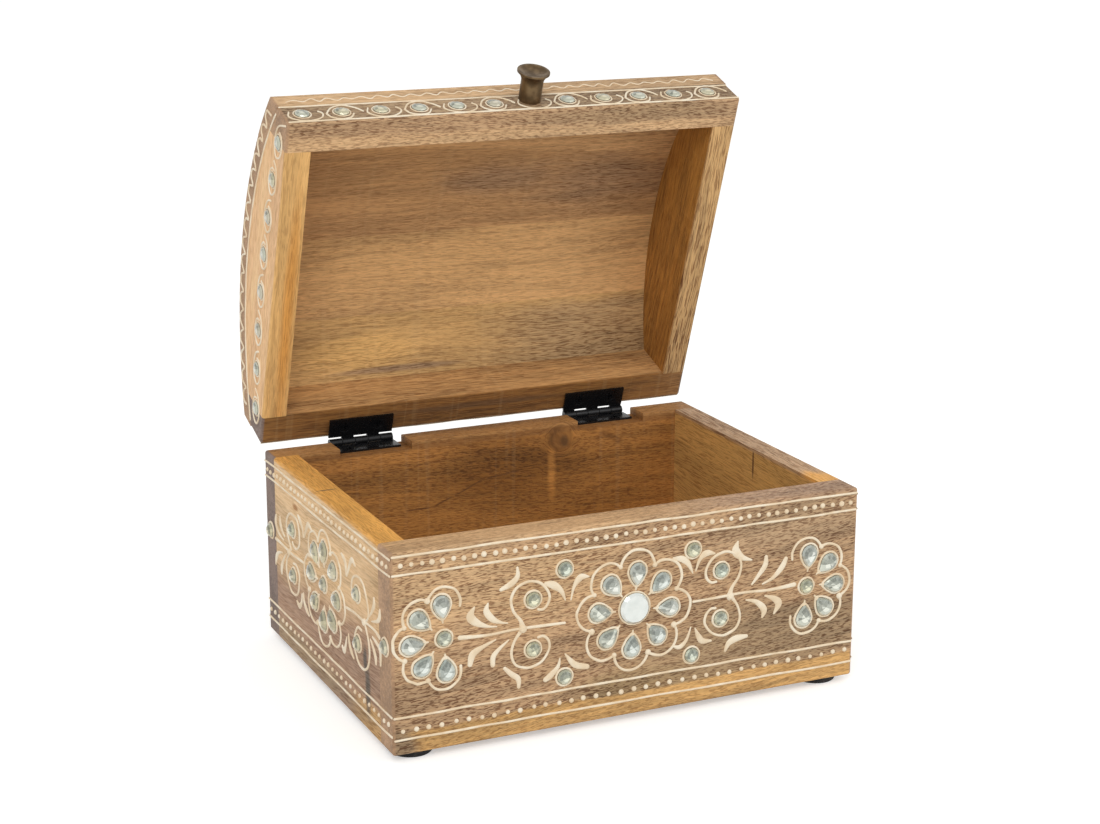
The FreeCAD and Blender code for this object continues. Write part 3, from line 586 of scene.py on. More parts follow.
# The lid's round top: up is the length along the arch from the crown towards the back
class Dome(Face):
    def spot(self, across, up, out):
        turn = up / DOME_RADIUS
        reach = DOME_RADIUS + out
        place = Vector((across, reach * sin(turn), DOME_CENTRE + reach * cos(turn)))
        return self.matrix @ (place * MM)

    def read(self, place):
        shut = self.matrix.inverted() @ place / MM
        return shut.x, DOME_RADIUS * atan2(shut.y, shut.z - DOME_CENTRE)


NORMALS = {"front": TO_FRONT, "back": TO_BACK, "left": TO_LEFT, "right": TO_RIGHT}
LONG_SIDES = ("front", "back")
BASE_FACES = {}
LID_FACES = {}
for side, normal in NORMALS.items():
    reaches = (BASE_HALF_DEPTH, LID_HALF_DEPTH) if side in LONG_SIDES else (BASE_HALF_WIDTH, LID_HALF_WIDTH)
    BASE_FACES[side] = Face(side, "base", normal, reaches[0], BASE_BOTTOM)
    LID_FACES[side] = Face(f"lid_{side}", "lid", normal, reaches[1], LID_RIM)
TOP_FACE = Dome("lid_top", "lid", UP, 0, 0)


# A value of the curve from b to c, at the share t of the way
def curve(a, b, c, d, t):
    square = (2 * a - 5 * b + 4 * c - d) * t * t
    cube = (3 * b - a - 3 * c + d) * t ** 3
    return 0.5 * (2 * b + (c - a) * t + square + cube)


# Runs a smooth curve through points, each a tuple of numbers
def smooth(course, closed, steps=6):
    count = len(course)
    result = []
    for index in range(count if closed else count - 1):
        around = range(index - 1, index + 3)
        four = [course[number % count if closed else min(max(number, 0), count - 1)] for number in around]
        for step in range(steps):
            result.append(tuple(curve(*values, step / steps) for values in zip(*four)))
    if not closed:
        result.append(tuple(course[-1]))
    return result


# The way from one point to another, as a run of length 1
def heading(start, end):
    length = hypot(end[0] - start[0], end[1] - start[1]) or 1.0
    return (end[0] - start[0]) / length, (end[1] - start[1]) / length


PAINT_RISE = 0.5
PAINT_SINK = 0.06
PAINT_STEEP = 0.55
WIDTH_SHAKE = (0.9, 1.12)
SECTION_STEPS = 6
CAP_TURNS = (80, 50, 22)


# Raised paint on one face, gathered in one mesh
class Painting:
    def __init__(self, face):
        self.face = face
        self.points = []
        self.faces = []

    def section(self, across, up, width, run_across, run_up, rise):
        top = min(rise, PAINT_STEEP * width)
        row = []
        for step in range(SECTION_STEPS + 1):
            turn = pi * step / SECTION_STEPS
            side = cos(turn) * width / 2
            row.append(len(self.points))
            out = sin(turn) * top - PAINT_SINK
            self.points.append(self.face.spot(across - run_up * side, up + run_across * side, out))
        return row

    # A ribbon of rounded section through (across, up, width) points
    def stroke(self, course, closed=False, rise=PAINT_RISE, shake=0.12, steps=6):
        shaken = []
        for across, up, width in course:
            push = HAND.uniform(-shake, shake), HAND.uniform(-shake, shake)
            shaken.append((across + push[0], up + push[1], width * HAND.uniform(*WIDTH_SHAKE)))
        line = smooth(shaken, closed, steps)
        rows = []
        for index, (across, up, width) in enumerate(line):
            before = line[index - 1] if closed or index else line[index]
            after = line[(index + 1) % len(line)] if closed or index + 1 < len(line) else line[index]
            run = heading(before, after)
            ends = []
            if not closed and index in (0, len(line) - 1):
                for turn in CAP_TURNS[::-1] if index else CAP_TURNS:
                    reach = sin(radians(turn)) * width / 2 * (1 if index else -1)
                    share = cos(radians(turn))
                    ends.append(self.section(
                        across + run[0] * reach, up + run[1] * reach, width * share, *run, rise * share))
            middle = self.section(across, up, width, *run, rise)
            rows += [middle] + ends if index else ends + [middle]
        for index in range(len(rows) if closed else len(rows) - 1):
            first, second = rows[index], rows[(index + 1) % len(rows)]
            for step in range(SECTION_STEPS):
                self.faces.append((first[step], first[step + 1], second[step + 1], second[step]))

    # A drop of paint
    def dot(self, across, up, radius, around=12):
        profile = ((1.0, -PAINT_SINK), (0.94, 0.3 * radius), (0.7, 0.55 * radius), (0.36, 0.68 * radius))
        rings = []
        for share, out in profile:
            rings.append(range(len(self.points), len(self.points) + around))
            spread = radius * share
            for step in range(around):
                turn = 2 * pi * step / around
                self.points.append(
                    self.face.spot(across + spread * cos(turn), up + spread * sin(turn), out))
        for inner, outer in zip(rings[1:], rings):
            for step in range(around):
                turn = (step + 1) % around
                self.faces.append((outer[step], outer[turn], inner[turn], inner[step]))
        self.faces.append(tuple(rings[-1]))

    def finish(self):
        add_piece(f"{self.face.name}_painting", self.points, self.faces, PAINT, self.face.body)


def show(name, data):
    shown = bpy.data.objects.new(name, data)
    SCENE.collection.objects.link(shown)
    return shown


def add_piece(name, points, faces, material, body, flat=False):
    mesh = bpy.data.meshes.new(name)
    mesh.from_pydata(points, [], faces)
    if not flat:
        mesh.shade_smooth()
    mesh.materials.append(material)
    piece = show(name, mesh)
    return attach(piece, body)


# The stones of a CAD node, each as the list of its corners
def stones_of(node):
    mesh = NODES[node].data
    keys = [tuple(round(value / MM, 2) for value in vertex.co) for vertex in mesh.vertices]
    parent = {key: key for key in keys}

    def root(key):
        while parent[key] != key:
            parent[key] = parent[parent[key]]
            key = parent[key]
        return key

    for polygon in mesh.polygons:
        first, *others = polygon.vertices
        for number in others:
            parent[root(keys[number])] = root(keys[first])
    stones = {}
    for key, vertex in zip(keys, mesh.vertices):
        stones.setdefault(root(key), []).append(vertex.co.copy())
    return list(stones.values())


def part_way(start, end, share):
    return tuple(a + (b - a) * share for a, b in zip(start, end))


def middle_of(points):
    return tuple(sum(point[axis] for point in points) / len(points) for axis in (0, 1))


# The outline of a stone on its face, as evenly spaced points from its tip on
def outline(face, corners, count):
    flat = [face.read(corner) for corner in corners]
    hull = [flat[number] for number in geometry.convex_hull_2d(flat)]
    centre = middle_of(hull)
    tip = max(range(len(hull)), key=lambda number: dist(hull[number], centre))
    hull = hull[tip:] + hull[:tip + 1]
    lengths = [dist(a, b) for a, b in zip(hull, hull[1:])]
    total = sum(lengths)
    points = []
    number, passed = 0, 0.0
    for step in range(count):
        target = total * step / count
        while passed + lengths[number] < target:
            passed += lengths[number]
            number += 1
        share = (target - passed) / (lengths[number] or 1.0)
        points.append(part_way(hull[number], hull[number + 1], share))
    return points


def stone_middles(face, node):
    return [middle_of(outline(face, corners, 16)) for corners in stones_of(node)]


# Foil-backed facets whose colours hold painted light: a pale edge, a darker ring and a bright middle as
# painted reflections, each facet a random tone between its ring's dark and light, with a painted highlight on
# the facets that face down and painted shade on those that face up
FACET_RINGS = ((1.0, 0.5), (0.84, 1.4), (0.5, 2.0))
FACET_TOP = 2.2
PETAL_FACETS = 16
ROUND_FACETS = 12
FACET_LIGHT_TONES = (
    ((172, 179, 174), (222, 227, 223)),
    ((124, 128, 122), (208, 212, 206)),
    ((150, 154, 148), (244, 246, 242)),
)
PETAL_TINTS = ((0.95, 0.97, 0.96), (0.98, 0.98, 0.94), (1.0, 1.0, 0.98))
ROUND_TINTS = ((1.0, 0.98, 0.86), (0.98, 0.98, 0.9), (0.94, 0.96, 0.9))
SIDE_TINTS = ((0.97, 0.91, 0.76), (0.95, 0.92, 0.8), (0.99, 0.94, 0.82))
LID_TINTS = ((0.9, 0.85, 0.72), (0.86, 0.85, 0.78), (0.88, 0.83, 0.74))
LID_STONE_RISE = 0.6
# The way on the face that gets the painted highlight, and how squarely a facet must face it, or face away for
# painted shade
PAINTED_HIGHLIGHT_TURN = -pi / 2
PAINTED_HIGHLIGHT_SHARE = 0.6


def tinted(low, high, tint):
    tone = part_way(low, high, HAND.random())
    return srgb(*(min(255, value * share) for value, share in zip(tone, tint)))


def cut_stones(node, face, count, tints, rise=1.0):
    points, faces, colours = [], [], []
    for corners in stones_of(node):
        edge = outline(face, corners, count)
        centre = middle_of(edge)
        tint = HAND.choice(tints)
        highlight_turn = PAINTED_HIGHLIGHT_TURN + HAND.uniform(-0.5, 0.5)
        rings = []
        for share, out in FACET_RINGS:
            rings.append(range(len(points), len(points) + count))
            for spot in edge:
                points.append(face.spot(*part_way(centre, spot, share), out * rise))
        top = len(points)
        points.append(face.spot(*centre, FACET_TOP * rise))
        for level, ring in enumerate(rings):
            for step in range(count):
                after = (step + 1) % count
                if level + 1 < len(rings):
                    upper = rings[level + 1]
                    faces.append((ring[step], ring[after], upper[after], upper[step]))
                else:
                    faces.append((ring[step], ring[after], top))
                # Painted light: a facet that faces the highlight turn takes its ring's light tone as a
                # painted highlight, one that faces away takes the dark tone as painted shade
                low, high = FACET_LIGHT_TONES[level]
                middle = [(edge[step][axis] + edge[after][axis]) / 2 - centre[axis] for axis in (0, 1)]
                facing = cos(atan2(middle[1], middle[0]) - highlight_turn)
                if facing > PAINTED_HIGHLIGHT_SHARE:
                    low = high
                elif facing < -PAINTED_HIGHLIGHT_SHARE:
                    high = low
                colours.append(tinted(low, high, tint))
    piece = add_piece(f"{node}_cut", points, faces, LOOKS["stone_glass"], face.body, flat=True)
    # The per-facet colours, painted highlights and painted shade, go into a colour attribute
    facet_light = piece.data.color_attributes.new("facet_light", "FLOAT_COLOR", "CORNER")
    for polygon, colour in zip(piece.data.polygons, colours):
        for corner in polygon.loop_indices:
            facet_light.data[corner].color = colour
    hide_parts(node)


RIM_OFFSET = 0.45
RIM_WIDTH = 1.0
RIM_RISE = 0.9
PETAL_TIP = 1.6
MIRROR_POINTS = 32


# A raised rim of paint round each stone, drawn out to a point at the tip of a petal
def rim_stones(paint, node, count=24, tip_length=0.0, width=RIM_WIDTH):
    for corners in stones_of(node):
        edge = outline(paint.face, corners, count)
        course = []
        for number, (across, up) in enumerate(edge):
            run = heading(edge[number - 1], edge[(number + 1) % count])
            course.append((across + run[1] * RIM_OFFSET, up - run[0] * RIM_OFFSET, width))
        paint.stroke(course, closed=True, rise=RIM_RISE, shake=0.06, steps=2)
        if tip_length:
            tip = edge[0]
            run = heading(middle_of(edge), tip)
            ends = ((-0.5, 1.5), (tip_length, 0.7))
            course = [(tip[0] + run[0] * out, tip[1] + run[1] * out, size) for out, size in ends]
            paint.stroke(course, rise=0.8)


def shares(count):
    return [number / count for number in range(count + 1)]


# A line along a face, drawn by hand
def band_line(paint, start, end, levels, width=0.95, step=9.0):
    paint.stroke([
        (*part_way((start, levels[0]), (end, levels[1]), share), width)
        for share in shares(max(2, round((end - start) / step)))
    ], shake=0.16)


def dot_row(paint, half, levels, pitch, radius):
    for share in shares(round(2 * half / pitch)):
        across = -half + 2 * half * share + HAND.uniform(-0.35, 0.35)
        up = levels[0] + (levels[1] - levels[0]) * share + HAND.uniform(-0.3, 0.3)
        paint.dot(across, up, radius * HAND.uniform(0.85, 1.12))


LOBE_WIDTH = 1.15
LOBE_STEPS = 8
LOBE_SPREAD = 45
LOBE_OVERRUN = 0.45
LOBE_DOT = (0.9, 1.4)


# A point that lies out and away from a centre, in axes turned by an angle
def turned(centre, turn, out, away):
    across = centre[0] + out * cos(turn) - away * sin(turn)
    return across, centre[1] + out * sin(turn) + away * cos(turn)


# One lobe of a scallop: an arc from notch to notch over a petal
def lobe(paint, centre, turn, notch, peak, cut_start=0.0, cut_end=0.0):
    half = radians(LOBE_SPREAD / 2)
    chord = notch * sin(half)
    foot = notch * cos(half)
    sagitta = peak - foot
    radius = (chord ** 2 + sagitta ** 2) / (2 * sagitta)
    middle = peak - radius
    sweep = atan2(chord, foot - middle)
    course = []
    for share in shares(LOBE_STEPS):
        swing = -sweep * (1 + cut_start) + sweep * (2 + cut_start + cut_end) * share
        spot = turned(centre, radians(turn), middle + radius * cos(swing), radius * sin(swing))
        course.append((*spot, LOBE_WIDTH))
    paint.stroke(course, shake=0.18)
    if not cut_end:
        paint.dot(course[-1][0], course[-1][1], HAND.uniform(*LOBE_DOT))


FLOWER_AXIS = 44.0
FLOWER_DROP = 0.8
HALF_DROPS = {-1: 0.0, 1: 2.2}
FIRST_LOBE = 86.0
# Flowers as (lobes, reach of the notches, reach of the lobes)
WHOLE_FLOWER = (8, 19.3, 24.6)
HALF_FLOWER = (5, 17.0, 20.3)


# Lobes round a centre; the outer two of a half flower run on past their notches
def flower(paint, centre, first, count, notch, peak, overrun=0.0):
    for number in range(count):
        lobe(paint, centre, first + LOBE_SPREAD * number, notch, peak,
             overrun if number == 0 else 0.0, overrun if number == count - 1 else 0.0)


# The scroll round a stone, as turn and reach from its centre; outward is away from the flower
SCROLL = (
    (-25, 8.7), (6, 9.0), (35, 8.8), (60, 8.0), (85, 7.3), (125, 6.7), (170, 6.9), (200, 6.9), (225, 6.3),
    (243, 5.0),
)
# Leaves by side (1 is right) and way (1 is up): (outward from the scroll stone, away from the stem, width)
SPRAYS = {
    (-1, 1): (
        ((24, 10.5, 0.8), (25.5, 7, 3.2), (23, 4, 2.6), (18.5, 2, 1.3), (15, 1.5, 0.6)),
        ((18.5, 11, 0.8), (19, 8, 2.9), (16.5, 4.5, 2.3), (13, 2.6, 1.2), (10.5, 2.1, 0.6)),
        ((6.3, 23.4, 1.1), (6.3, 20.1, 2.2), (8.8, 17.6, 2.7), (12.9, 15.8, 1.6)),
        ((-5.4, 15.4, 1.7), (-8.5, 14.5, 3.2), (-11.7, 11.5, 2), (-13.6, 7.7, 0.6)),
        ((-23.4, 15.7, 0.7), (-20, 15.7, 2.7), (-17.2, 12.4, 1.5), (-15.9, 7.4, 0.6)),
    ),
    (-1, -1): (
        ((25.7, 12.1, 2), (24.8, 8.3, 2.9), (20.7, 5.8, 1.9), (15.3, 3.8, 0.7)),
        ((16.5, 13.8, 1.9), (16.4, 10.5, 2.4), (13.9, 7.8, 1.5), (10, 4.8, 0.7)),
        ((11.7, 16.1, 1.5), (9, 18.8, 2.4), (6.2, 21.2, 2.4), (5.8, 24.4, 1.4)),
        ((-5.3, 23.3, 2), (-7.6, 21.9, 2.8), (-10.4, 18.8, 1.5), (-11.3, 15.6, 0.6)),
        ((-22.9, 21, 2), (-18.2, 19.6, 2.9), (-15.5, 16.9, 1.8), (-13.6, 14.2, 0.6)),
    ),
    (1, 1): (
        ((29.2, 10.5, 1.8), (27.5, 7.2, 2.7), (23.6, 3.6, 1.8), (18.8, 1.5, 0.7)),
        ((20.3, 12.6, 1.6), (19.9, 9.2, 2.5), (17, 5.5, 1.6), (13.8, 2, 0.7)),
        ((7.2, 20.8, 0.8), (6.3, 17.1, 3.4), (9.3, 13.9, 2.8), (13.6, 12.2, 0.8)),
        ((-3.1, 17.4, 0.9), (-6.7, 17.8, 2.7), (-9.6, 15.8, 1.6), (-11.3, 11.4, 0.6)),
        ((-21.1, 17.8, 1.1), (-17.5, 17, 2.9), (-14.6, 14.6, 2), (-12.6, 10.5, 0.6)),
    ),
    (1, -1): (
        ((24.5, 11.8, 0.9), (26.4, 7.9, 3.2), (24.3, 5.3, 2.4), (20.2, 3.6, 0.7)),
        ((19.2, 12.4, 1), (19.9, 9.3, 2.9), (16.3, 5.7, 1.8), (11.7, 4.1, 0.7)),
        ((12.1, 19.5, 1.6), (7.6, 19.7, 2.8), (4.2, 21.2, 2.4), (2.5, 24.2, 1)),
        ((-4.1, 18.8, 0.9), (-7.7, 18.4, 2.7), (-9.7, 15.8, 2.2), (-11.2, 12.7, 0.6)),
        ((-20.8, 18.4, 0.9), (-17.9, 19.3, 2.2), (-15, 16.8, 1.4), (-13.2, 11.7, 0.6)),
    ),
}
SCROLL_RISE = 10.0
NODE_OUT = 4.2
NODE_RADIUS = 1.7
STEM_WIDTH = 1.15
STEM_FOOT = 2.1
STEM_DROP = 1.2
STEM_BENDS = (0.3, -0.2, 0.3, 0.0, -0.2)
HALF_FLOWERS = {-1: 79.3, 1: 77.0}
# Places of the scroll stones and of the stem's inner and outer end, by side
BRANCHES = {-1: (43.0, 29.6, 72.8), 1: (38.0, 25.8, 71.6)}


# Stem, scrolls and leaves on one side of the flower
def branch(paint, axis, side, scroll_at, stem_from, stem_to):
    stem_axis = axis - STEM_DROP
    course = []
    for share, bend in zip(shares(len(STEM_BENDS) - 1), STEM_BENDS):
        across = side * (stem_to + (stem_from - stem_to) * share)
        course.append((across, stem_axis + bend, STEM_WIDTH if share else STEM_FOOT))
    paint.stroke(course)
    node = side * (scroll_at + NODE_OUT)
    paint.dot(node, stem_axis, NODE_RADIUS)
    for way in (1, -1):
        centre = side * scroll_at, axis + way * SCROLL_RISE
        curl = [(node, stem_axis + way * 0.6, 2.6), (side * (scroll_at + 5.2), axis + way * 2.4, 1.6)]
        for turn, reach in SCROLL:
            facing = radians(turn)
            across = centre[0] + side * reach * cos(facing)
            curl.append((across, centre[1] + way * reach * sin(facing), STEM_WIDTH))
        paint.stroke(curl)
        for leaf in SPRAYS[side, way]:
            paint.stroke([
                (side * (scroll_at + out), axis + way * away, width)
                for out, away, width in leaf
            ])


def long_side(paint, axis):
    flower(paint, (0, axis - FLOWER_DROP), FIRST_LOBE, *WHOLE_FLOWER)
    for side, places in BRANCHES.items():
        branch(paint, axis, side, *places)
    for side, reach in HALF_FLOWERS.items():
        centre = side * reach, axis - HALF_DROPS[side]
        flower(paint, centre, -90 * side, *HALF_FLOWER, LOBE_OVERRUN)


# The short sides: scrolls as (across, up) from their stones, stems and leaves from the middle of the flower;
# across runs from the back to the front
SHORT_SCROLLS = (
    ((-39.4, 10.6), (
        (-2.2, -8.7), (-4.3, -6.2), (-6.3, -3.1), (-7.7, 0.5), (-6.1, 4.3), (-2.7, 6.7), (2, 7.3),
        (6.4, 6.5), (8.9, 3.3), (9.3, -0.2), (8.8, -3.4), (5.3, -6.3), (1.7, -6.2), (0, -4.9))),
    ((-38.4, -8.9), (
        (-5.8, 8), (-8.9, 4.6), (-10.1, 1.1), (-9.1, -2.6), (-7, -5.7), (-3.9, -7.8), (1.6, -7.7),
        (5, -5.2), (6.2, -1.4), (7, 1.9), (5.4, 4.4), (2.8, 5.7), (-0.4, 5.6))),
    ((38.1, 7.8), (
        (9.5, -7.3), (12.6, -4.5), (12.8, -1.2), (10.6, 3.4), (7.8, 6.8), (4, 8.3), (-0.5, 7.9),
        (-4.2, 5.7), (-5.6, 2.1), (-5, -0.2))),
    ((40, -11.6), (
        (7, 10.5), (9.3, 7.6), (11, 3.9), (11.3, -0.7), (9.5, -5.3), (5.9, -8), (2, -8.4),
        (-1.5, -7.4), (-3.4, -5.5), (-5.3, -2.9), (-5.6, 0.3), (-3.8, 4.2), (-1.1, 6.8), (2.8, 6.9))),
)
SHORT_STEMS = (
    ((-62.4, 0.5), (-52.9, 0.4), (-43.6, 0), (-34.4, 0.4), (-24.9, 1.1)),
    ((62.5, -0.8), (57.8, 0.4), (51, 0.2), (45.1, 0), (35.1, -0.1), (25.9, -1)),
)
SHORT_NODES = ((-43.6, 0.2), (46.6, -0.1))
SHORT_LEAVES = (
    ((-60.9, 11.2), (-61.7, 8), (-58.5, 4.5), (-51.7, 3.1)),
    ((-55.6, 12.1), (-55.4, 9.2), (-53.3, 6.8), (-49.7, 5.1)),
    ((-63.1, -11), (-62, -7.4), (-58.8, -4.8), (-53.7, -3.1)),
    ((-55.1, -13), (-55.4, -10.2), (-52.6, -6.2), (-48.5, -2.3)),
    ((-31.4, 19.8), (-28.8, 18), (-25.9, 15.8), (-24.8, 12.3)),
    ((-14.6, 18.6), (-18.8, 19.5), (-21.8, 15.7), (-23.7, 12.6)),
    ((-35.8, -18.8), (-32.6, -20), (-29.5, -17.1), (-28.7, -13.4)),
    ((-20.4, -20), (-23.6, -18.5), (-26.1, -16), (-26.9, -12.5)),
    ((57.5, 13.1), (57.3, 10.6), (55.2, 7.4), (52.2, 4)),
    ((63.5, 10.5), (62.9, 7.5), (60.4, 4.9), (54.5, 2.9)),
    ((58.5, -12.9), (57.7, -10), (55.4, -7.2), (52.6, -4.9)),
    ((63.4, -11.5), (63.1, -6.2), (59.4, -4), (54.7, -3)),
    ((21.5, 19.6), (25.4, 18), (26.6, 14.5), (27, 12.2)),
    ((37.2, 19.6), (33.4, 20.8), (30.2, 17.1), (28, 12.9)),
    ((20.1, -18.9), (22.1, -20.4), (24.4, -17), (25.6, -13.3)),
    ((33.4, -19.4), (30.5, -17.5), (28.6, -14.8), (27.8, -11.4)),
)
SHORT_DROP = 1.0
SHORT_FOOT = 1.8
SHORT_NODE_RADIUS = 1.6
LEAF_WIDTHS = (1.1, 2.5, 1.7, 0.7)


def short_side(paint, axis, way):
    flower(paint, (0, axis - SHORT_DROP - FLOWER_DROP), FIRST_LOBE, *WHOLE_FLOWER)
    for centre, course in SHORT_SCROLLS:
        paint.stroke([(way * (centre[0] + out), axis + centre[1] + up, STEM_WIDTH) for out, up in course])
    for course in SHORT_STEMS:
        paint.stroke([
            (way * across, axis + up, STEM_WIDTH if number else SHORT_FOOT)
            for number, (across, up) in enumerate(course)
        ])
    for across, up in SHORT_NODES:
        paint.dot(way * across, axis + up, SHORT_NODE_RADIUS)
    for course in SHORT_LEAVES:
        paint.stroke([
            (way * across, axis + up, width)
            for (across, up), width in zip(course, LEAF_WIDTHS)
        ])


# Painting of the base: bands as (level at the start, level at the end), rows of dots as (levels, pitch,
# radius), and the motif between them
LONG_BANDS = ((78.3, 78.1), (71.1, 70.9), (15.2, 14.9), (6.3, 6.0))
SHORT_BANDS = ((75.8, 77.3), (69.4, 70.9), (13.8, 15.5), (5.8, 7.5))
LONG_DOTS = (((74.6, 74.4), 4.2, 1.05), ((9.8, 11.3), 5.4, 1.0))
SHORT_DOTS = (((72.6, 74.1), 4.6, 1.05), ((9.9, 11.6), 5.2, 1.0))
LINE_INSET = 0.8
DOT_INSET = 3
LONG_PAINT = (LONG_BANDS, LONG_DOTS, BASE_HALF_WIDTH, PETAL_TINTS, ROUND_TINTS)
SHORT_PAINT = (SHORT_BANDS, SHORT_DOTS, BASE_HALF_DEPTH, SIDE_TINTS, SIDE_TINTS)
NOTCH_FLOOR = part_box("left_hinge_base_leaf")[0].z / MM - BASE_BOTTOM
NOTCH_ROOM = 3.6


# The stretches of the back's rim beside the hinge notches; across runs from right to left there
def between_notches(half):
    ends = [-half]
    for node in ("right_hinge_base_leaf", "left_hinge_base_leaf"):
        low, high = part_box(node)
        ends += [-high.x / MM - NOTCH_ROOM, -low.x / MM + NOTCH_ROOM]
    ends.append(half)
    return list(zip(ends[::2], ends[1::2]))


for side, face in BASE_FACES.items():
    paint = Painting(face)
    petals, rounds = f"{side}_petal_stones", f"{side}_round_stones"
    bands, dots, reach, petal_tints, round_tints = LONG_PAINT if side in LONG_SIDES else SHORT_PAINT
    half = reach - LINE_INSET
    way = -1 if side == "right" else 1
    for levels in bands:
        notched = side == "back" and levels[0] > NOTCH_FLOOR
        for start, end in between_notches(half) if notched else ((-half, half),):
            band_line(paint, start, end, levels[::way])
    for levels, pitch, radius in dots:
        dot_row(paint, half - DOT_INSET, levels[::way], pitch, radius)
    if side in LONG_SIDES:
        long_side(paint, FLOWER_AXIS)
    else:
        short_side(paint, FLOWER_AXIS, way)
    rim_stones(paint, petals, tip_length=PETAL_TIP)
    rim_stones(paint, rounds)
    cut_stones(petals, face, PETAL_FACETS, petal_tints)
    cut_stones(rounds, face, ROUND_FACETS, round_tints)
    if side in LONG_SIDES:
        rim_stones(paint, f"{side}_mirror_disc", MIRROR_POINTS, width=0.75)
    paint.finish()


# The lid's rails: two lines, a wave scroll that runs over one stone and under the next, and a zigzag above
RAIL_LINES = ((0.8, 0.8), (13.6, 12.6))
OVER_CURL = ((-6.5, -0.9, 1.1), (-3.2, 4.0, 0.95), (2.2, 5.5, 0.95), (6.6, 3.0, 0.95), (8.8, -0.2, 1.0))
OVER_TAIL = ((-6.5, -1.4, 1.1), (-5.3, -4.2, 0.95), (-1.6, -5.8, 0.95), (2.4, -4.9, 0.95), (4.5, -1.8, 0.9))
UNDER_CURL = (
    (-4.8, 2.2, 0.9), (-6.0, -2.0, 1.0), (-2.2, -5.4, 0.95), (3.0, -5.8, 0.95), (7.0, -3.5, 0.95),
    (8.4, -0.5, 0.95), (7.0, 1.6, 0.9),
)
RAIL_STROKE = 0.82
ZIGZAG_ROW = 18.6
ZIGZAGS = 54
ZIGZAG_INSET = 4


def rail(paint, node, skip=None):
    half = LID_HALF_WIDTH - LINE_INSET
    for levels in RAIL_LINES:
        band_line(paint, -half, half, levels, 0.75)
    spots = stone_middles(paint.face, node)
    if skip is not None:
        spots.append((skip, spots[0][1]))
    for number, (across, up) in enumerate(sorted(spots)):
        for curl in (OVER_CURL, OVER_TAIL) if number % 2 else (UNDER_CURL,):
            paint.stroke([(across + out, up + away, width * RAIL_STROKE) for out, away, width in curl])
    start = -half + ZIGZAG_INSET
    paint.stroke([
        (start - 2 * start * number / ZIGZAGS, ZIGZAG_ROW + (1.0 if number % 2 else -1.0), 0.55)
        for number in range(ZIGZAGS + 1)
    ], shake=0.45)


# The lid's arched ends: a spiral round each stone, an arc under the joint and a wave on the dome's edge
END_SPIRAL = (
    (8.4, -1.2), (6.4, 2.2), (1.6, 4.0), (-3.6, 3.6), (-6.9, 0.2), (-4.6, -3.5), (0.0, -4.3), (4.0, -2.6),
    (4.7, 0.4),
)
END_STROKE = 0.95
ARC_STEPS = 24
ARC_DROP = 1.2
ARC_INSET = 2.5
END_WAVE_INSET = 5
END_WAVE_PITCH = 8.6
END_HOOK = ((0.0, -2.3), (0.17, 0.1), (0.35, 1.7), (0.56, 1.9), (0.74, 1.2), (0.87, -1.0))
CORNER_TAIL = (11.6, -4.4)
STONE_ARC = 340


# A point of an arc round the dome's centre, on an end of the lid
def arc_point(radius, turn):
    return radius * sin(turn), DOME_CENTRE - LID_RIM + radius * cos(turn), END_STROKE


# way is 1 where across runs to the front
def arched_end(paint, node, way):
    inner = DOME_RADIUS - DOME_BOARD
    reach = asin((LID_HALF_DEPTH - ARC_INSET) / inner)
    paint.stroke([
        arc_point(inner - ARC_DROP, -reach + 2 * reach * number / ARC_STEPS)
        for number in range(ARC_STEPS + 1)
    ])
    spots = sorted(stone_middles(paint.face, node), key=lambda spot: -way * spot[0])
    for number, spot in enumerate(spots):
        lean = -asin(spot[0] / STONE_ARC)
        over = -1 if number % 2 else 1
        start = END_SPIRAL[0] if number else CORNER_TAIL
        paint.stroke([
            (*turned(spot, lean, way * out, over * away), END_STROKE)
            for out, away in (start, *END_SPIRAL[1:])
        ])
    middle = DOME_RADIUS - DOME_BOARD / 2
    reach = asin((LID_HALF_DEPTH - END_WAVE_INSET) / middle)
    count = round(2 * reach * middle / END_WAVE_PITCH)
    paint.stroke([
        arc_point(middle + away, way * reach * (1 - 2 * (number + share) / count))
        for number in range(count)
        for share, away in END_HOOK
    ], shake=0.25)


for side, face in LID_FACES.items():
    paint = Painting(face)
    node = f"lid_{side}_stones"
    if side in LONG_SIDES:
        rail(paint, node, KNOB_ACROSS if side == "front" else None)
    else:
        arched_end(paint, node, 1 if side == "left" else -1)
    rim_stones(paint, node, width=0.6)
    cut_stones(node, face, ROUND_FACETS, LID_TINTS, LID_STONE_RISE)
    paint.finish()

# The top of the lid repeats the front's motif between two bands
TOP_BANDS = (-71.0, -64.0, 64.0, 71.0)
TOP_DOTS = (-67.5, 67.5)
TOP_HALF = LID_HALF_WIDTH - 2.0
top_paint = Painting(TOP_FACE)
for level in TOP_BANDS:
    band_line(top_paint, -TOP_HALF, TOP_HALF, (level, level))
for level in TOP_DOTS:
    dot_row(top_paint, TOP_HALF - DOT_INSET, (level, level), 4.6, 1.0)
long_side(top_paint, 0)
rim_stones(top_paint, "lid_top_petal_stones", tip_length=PETAL_TIP)
rim_stones(top_paint, "lid_top_round_stones")
rim_stones(top_paint, "lid_top_mirror_disc", MIRROR_POINTS)
cut_stones("lid_top_petal_stones", TOP_FACE, PETAL_FACETS, PETAL_TINTS)
cut_stones("lid_top_round_stones", TOP_FACE, ROUND_FACETS, ROUND_TINTS)
top_paint.finish()


# The rays that see the white of the floor and the surroundings as it is: camera, mirror and glass rays
def light_path_share(tree):
    path = tree.nodes.new("ShaderNodeLightPath").outputs
    share = path["Is Camera Ray"]
    for name in ("Is Glossy Ray", "Is Transmission Ray"):
        share = tree.math("MAXIMUM", share, path[name])
    return share


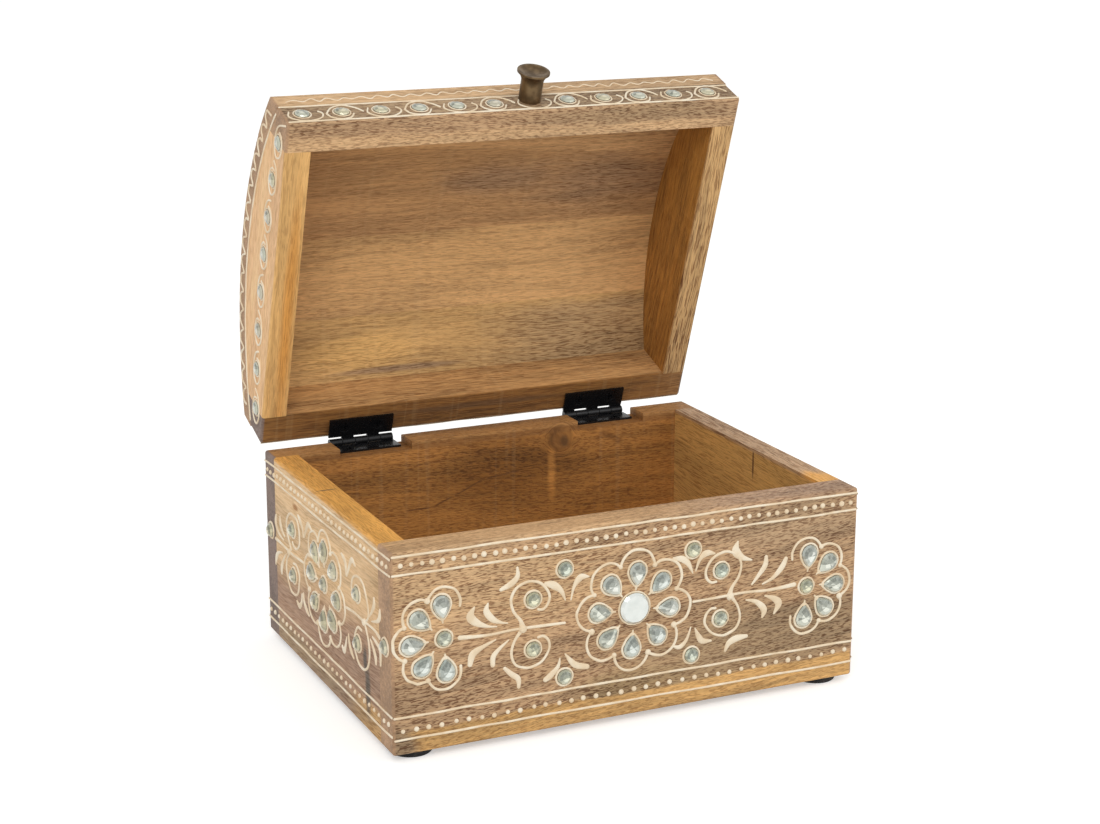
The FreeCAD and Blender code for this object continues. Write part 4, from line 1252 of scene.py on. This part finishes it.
# White floor that keeps the shadow, white surroundings and soft light
FLOOR_HALF = 6.0
FLOOR_GLOW = 0.42
WORLD_LIGHT = 0.72
floor_mesh = bpy.data.meshes.new("floor")
corners = [(x * FLOOR_HALF, y * FLOOR_HALF, 0) for x, y in ((-1, -1), (1, -1), (1, 1), (-1, 1))]
floor_mesh.from_pydata(corners, [], [(0, 1, 2, 3)])
floor = show("floor", floor_mesh)
floor_look = Look("floor")
floor_look.finish(Base_Color=srgb(236, 236, 234), Roughness=0.9, Specular_IOR_Level=0.0)
lift = floor_look.times(light_path_share(floor_look), FLOOR_GLOW)
glow = floor_look.add("Emission", {"Strength": lift})
lit = floor_look.add("AddShader", {0: floor_look.shader.outputs[0], 1: glow})
floor_look.put(floor_look.nodes["Material Output"].inputs["Surface"], lit)
floor_mesh.materials.append(floor_look.material)

world = bpy.data.worlds.new("studio")
world.use_nodes = True
SCENE.world = world
studio = Tree(world.node_tree)
sky = studio.nodes["Background"].inputs
sky["Color"].default_value = (1, 1, 1, 1)
light = {"Value": light_path_share(studio), "To Min": WORLD_LIGHT, "To Max": 1.0}
studio.put(sky["Strength"], studio.add("MapRange", light))

# Lamps as (name, place, size, power)
LAMPS = (("key_lamp", (-0.9, -1.5, 1.5), 1.1, 14.0), ("fill_lamp", (1.2, -1.2, 0.9), 1.2, 4.0))
LAMP_AIM = Vector((0, 0, 0.1))
for name, place, size, power in LAMPS:
    lamp = bpy.data.lights.new(name, "AREA")
    lamp.shape = "DISK"
    lamp.size = size
    lamp.energy = power
    holder = show(name, lamp)
    holder.location = place
    holder.rotation_euler = (LAMP_AIM - Vector(place)).to_track_quat("-Z", "Y").to_euler()

# Camera at the photograph's viewing angle
CAMERA_PLACE = (-0.36507, -0.7887, 0.3408)
CAMERA_AZIMUTH = -24.75
CAMERA_ELEVATION = 15.06
CAMERA_ROLL = 0.13
CAMERA_LENS = 72.03
camera_data = bpy.data.cameras.new("camera")
camera_data.sensor_fit = "HORIZONTAL"
camera_data.sensor_width = 36.0
camera_data.lens = CAMERA_LENS
camera = show("camera", camera_data)
camera.location = CAMERA_PLACE
azimuth = Matrix.Rotation(radians(CAMERA_AZIMUTH), 3, "Z")
pitch = Matrix.Rotation(radians(90 - CAMERA_ELEVATION), 3, "X")
roll = Matrix.Rotation(radians(CAMERA_ROLL), 3, "Z")
camera.rotation_euler = (azimuth @ pitch @ roll).to_euler()
SCENE.camera = camera
SCENE.view_settings.view_transform = "Standard"
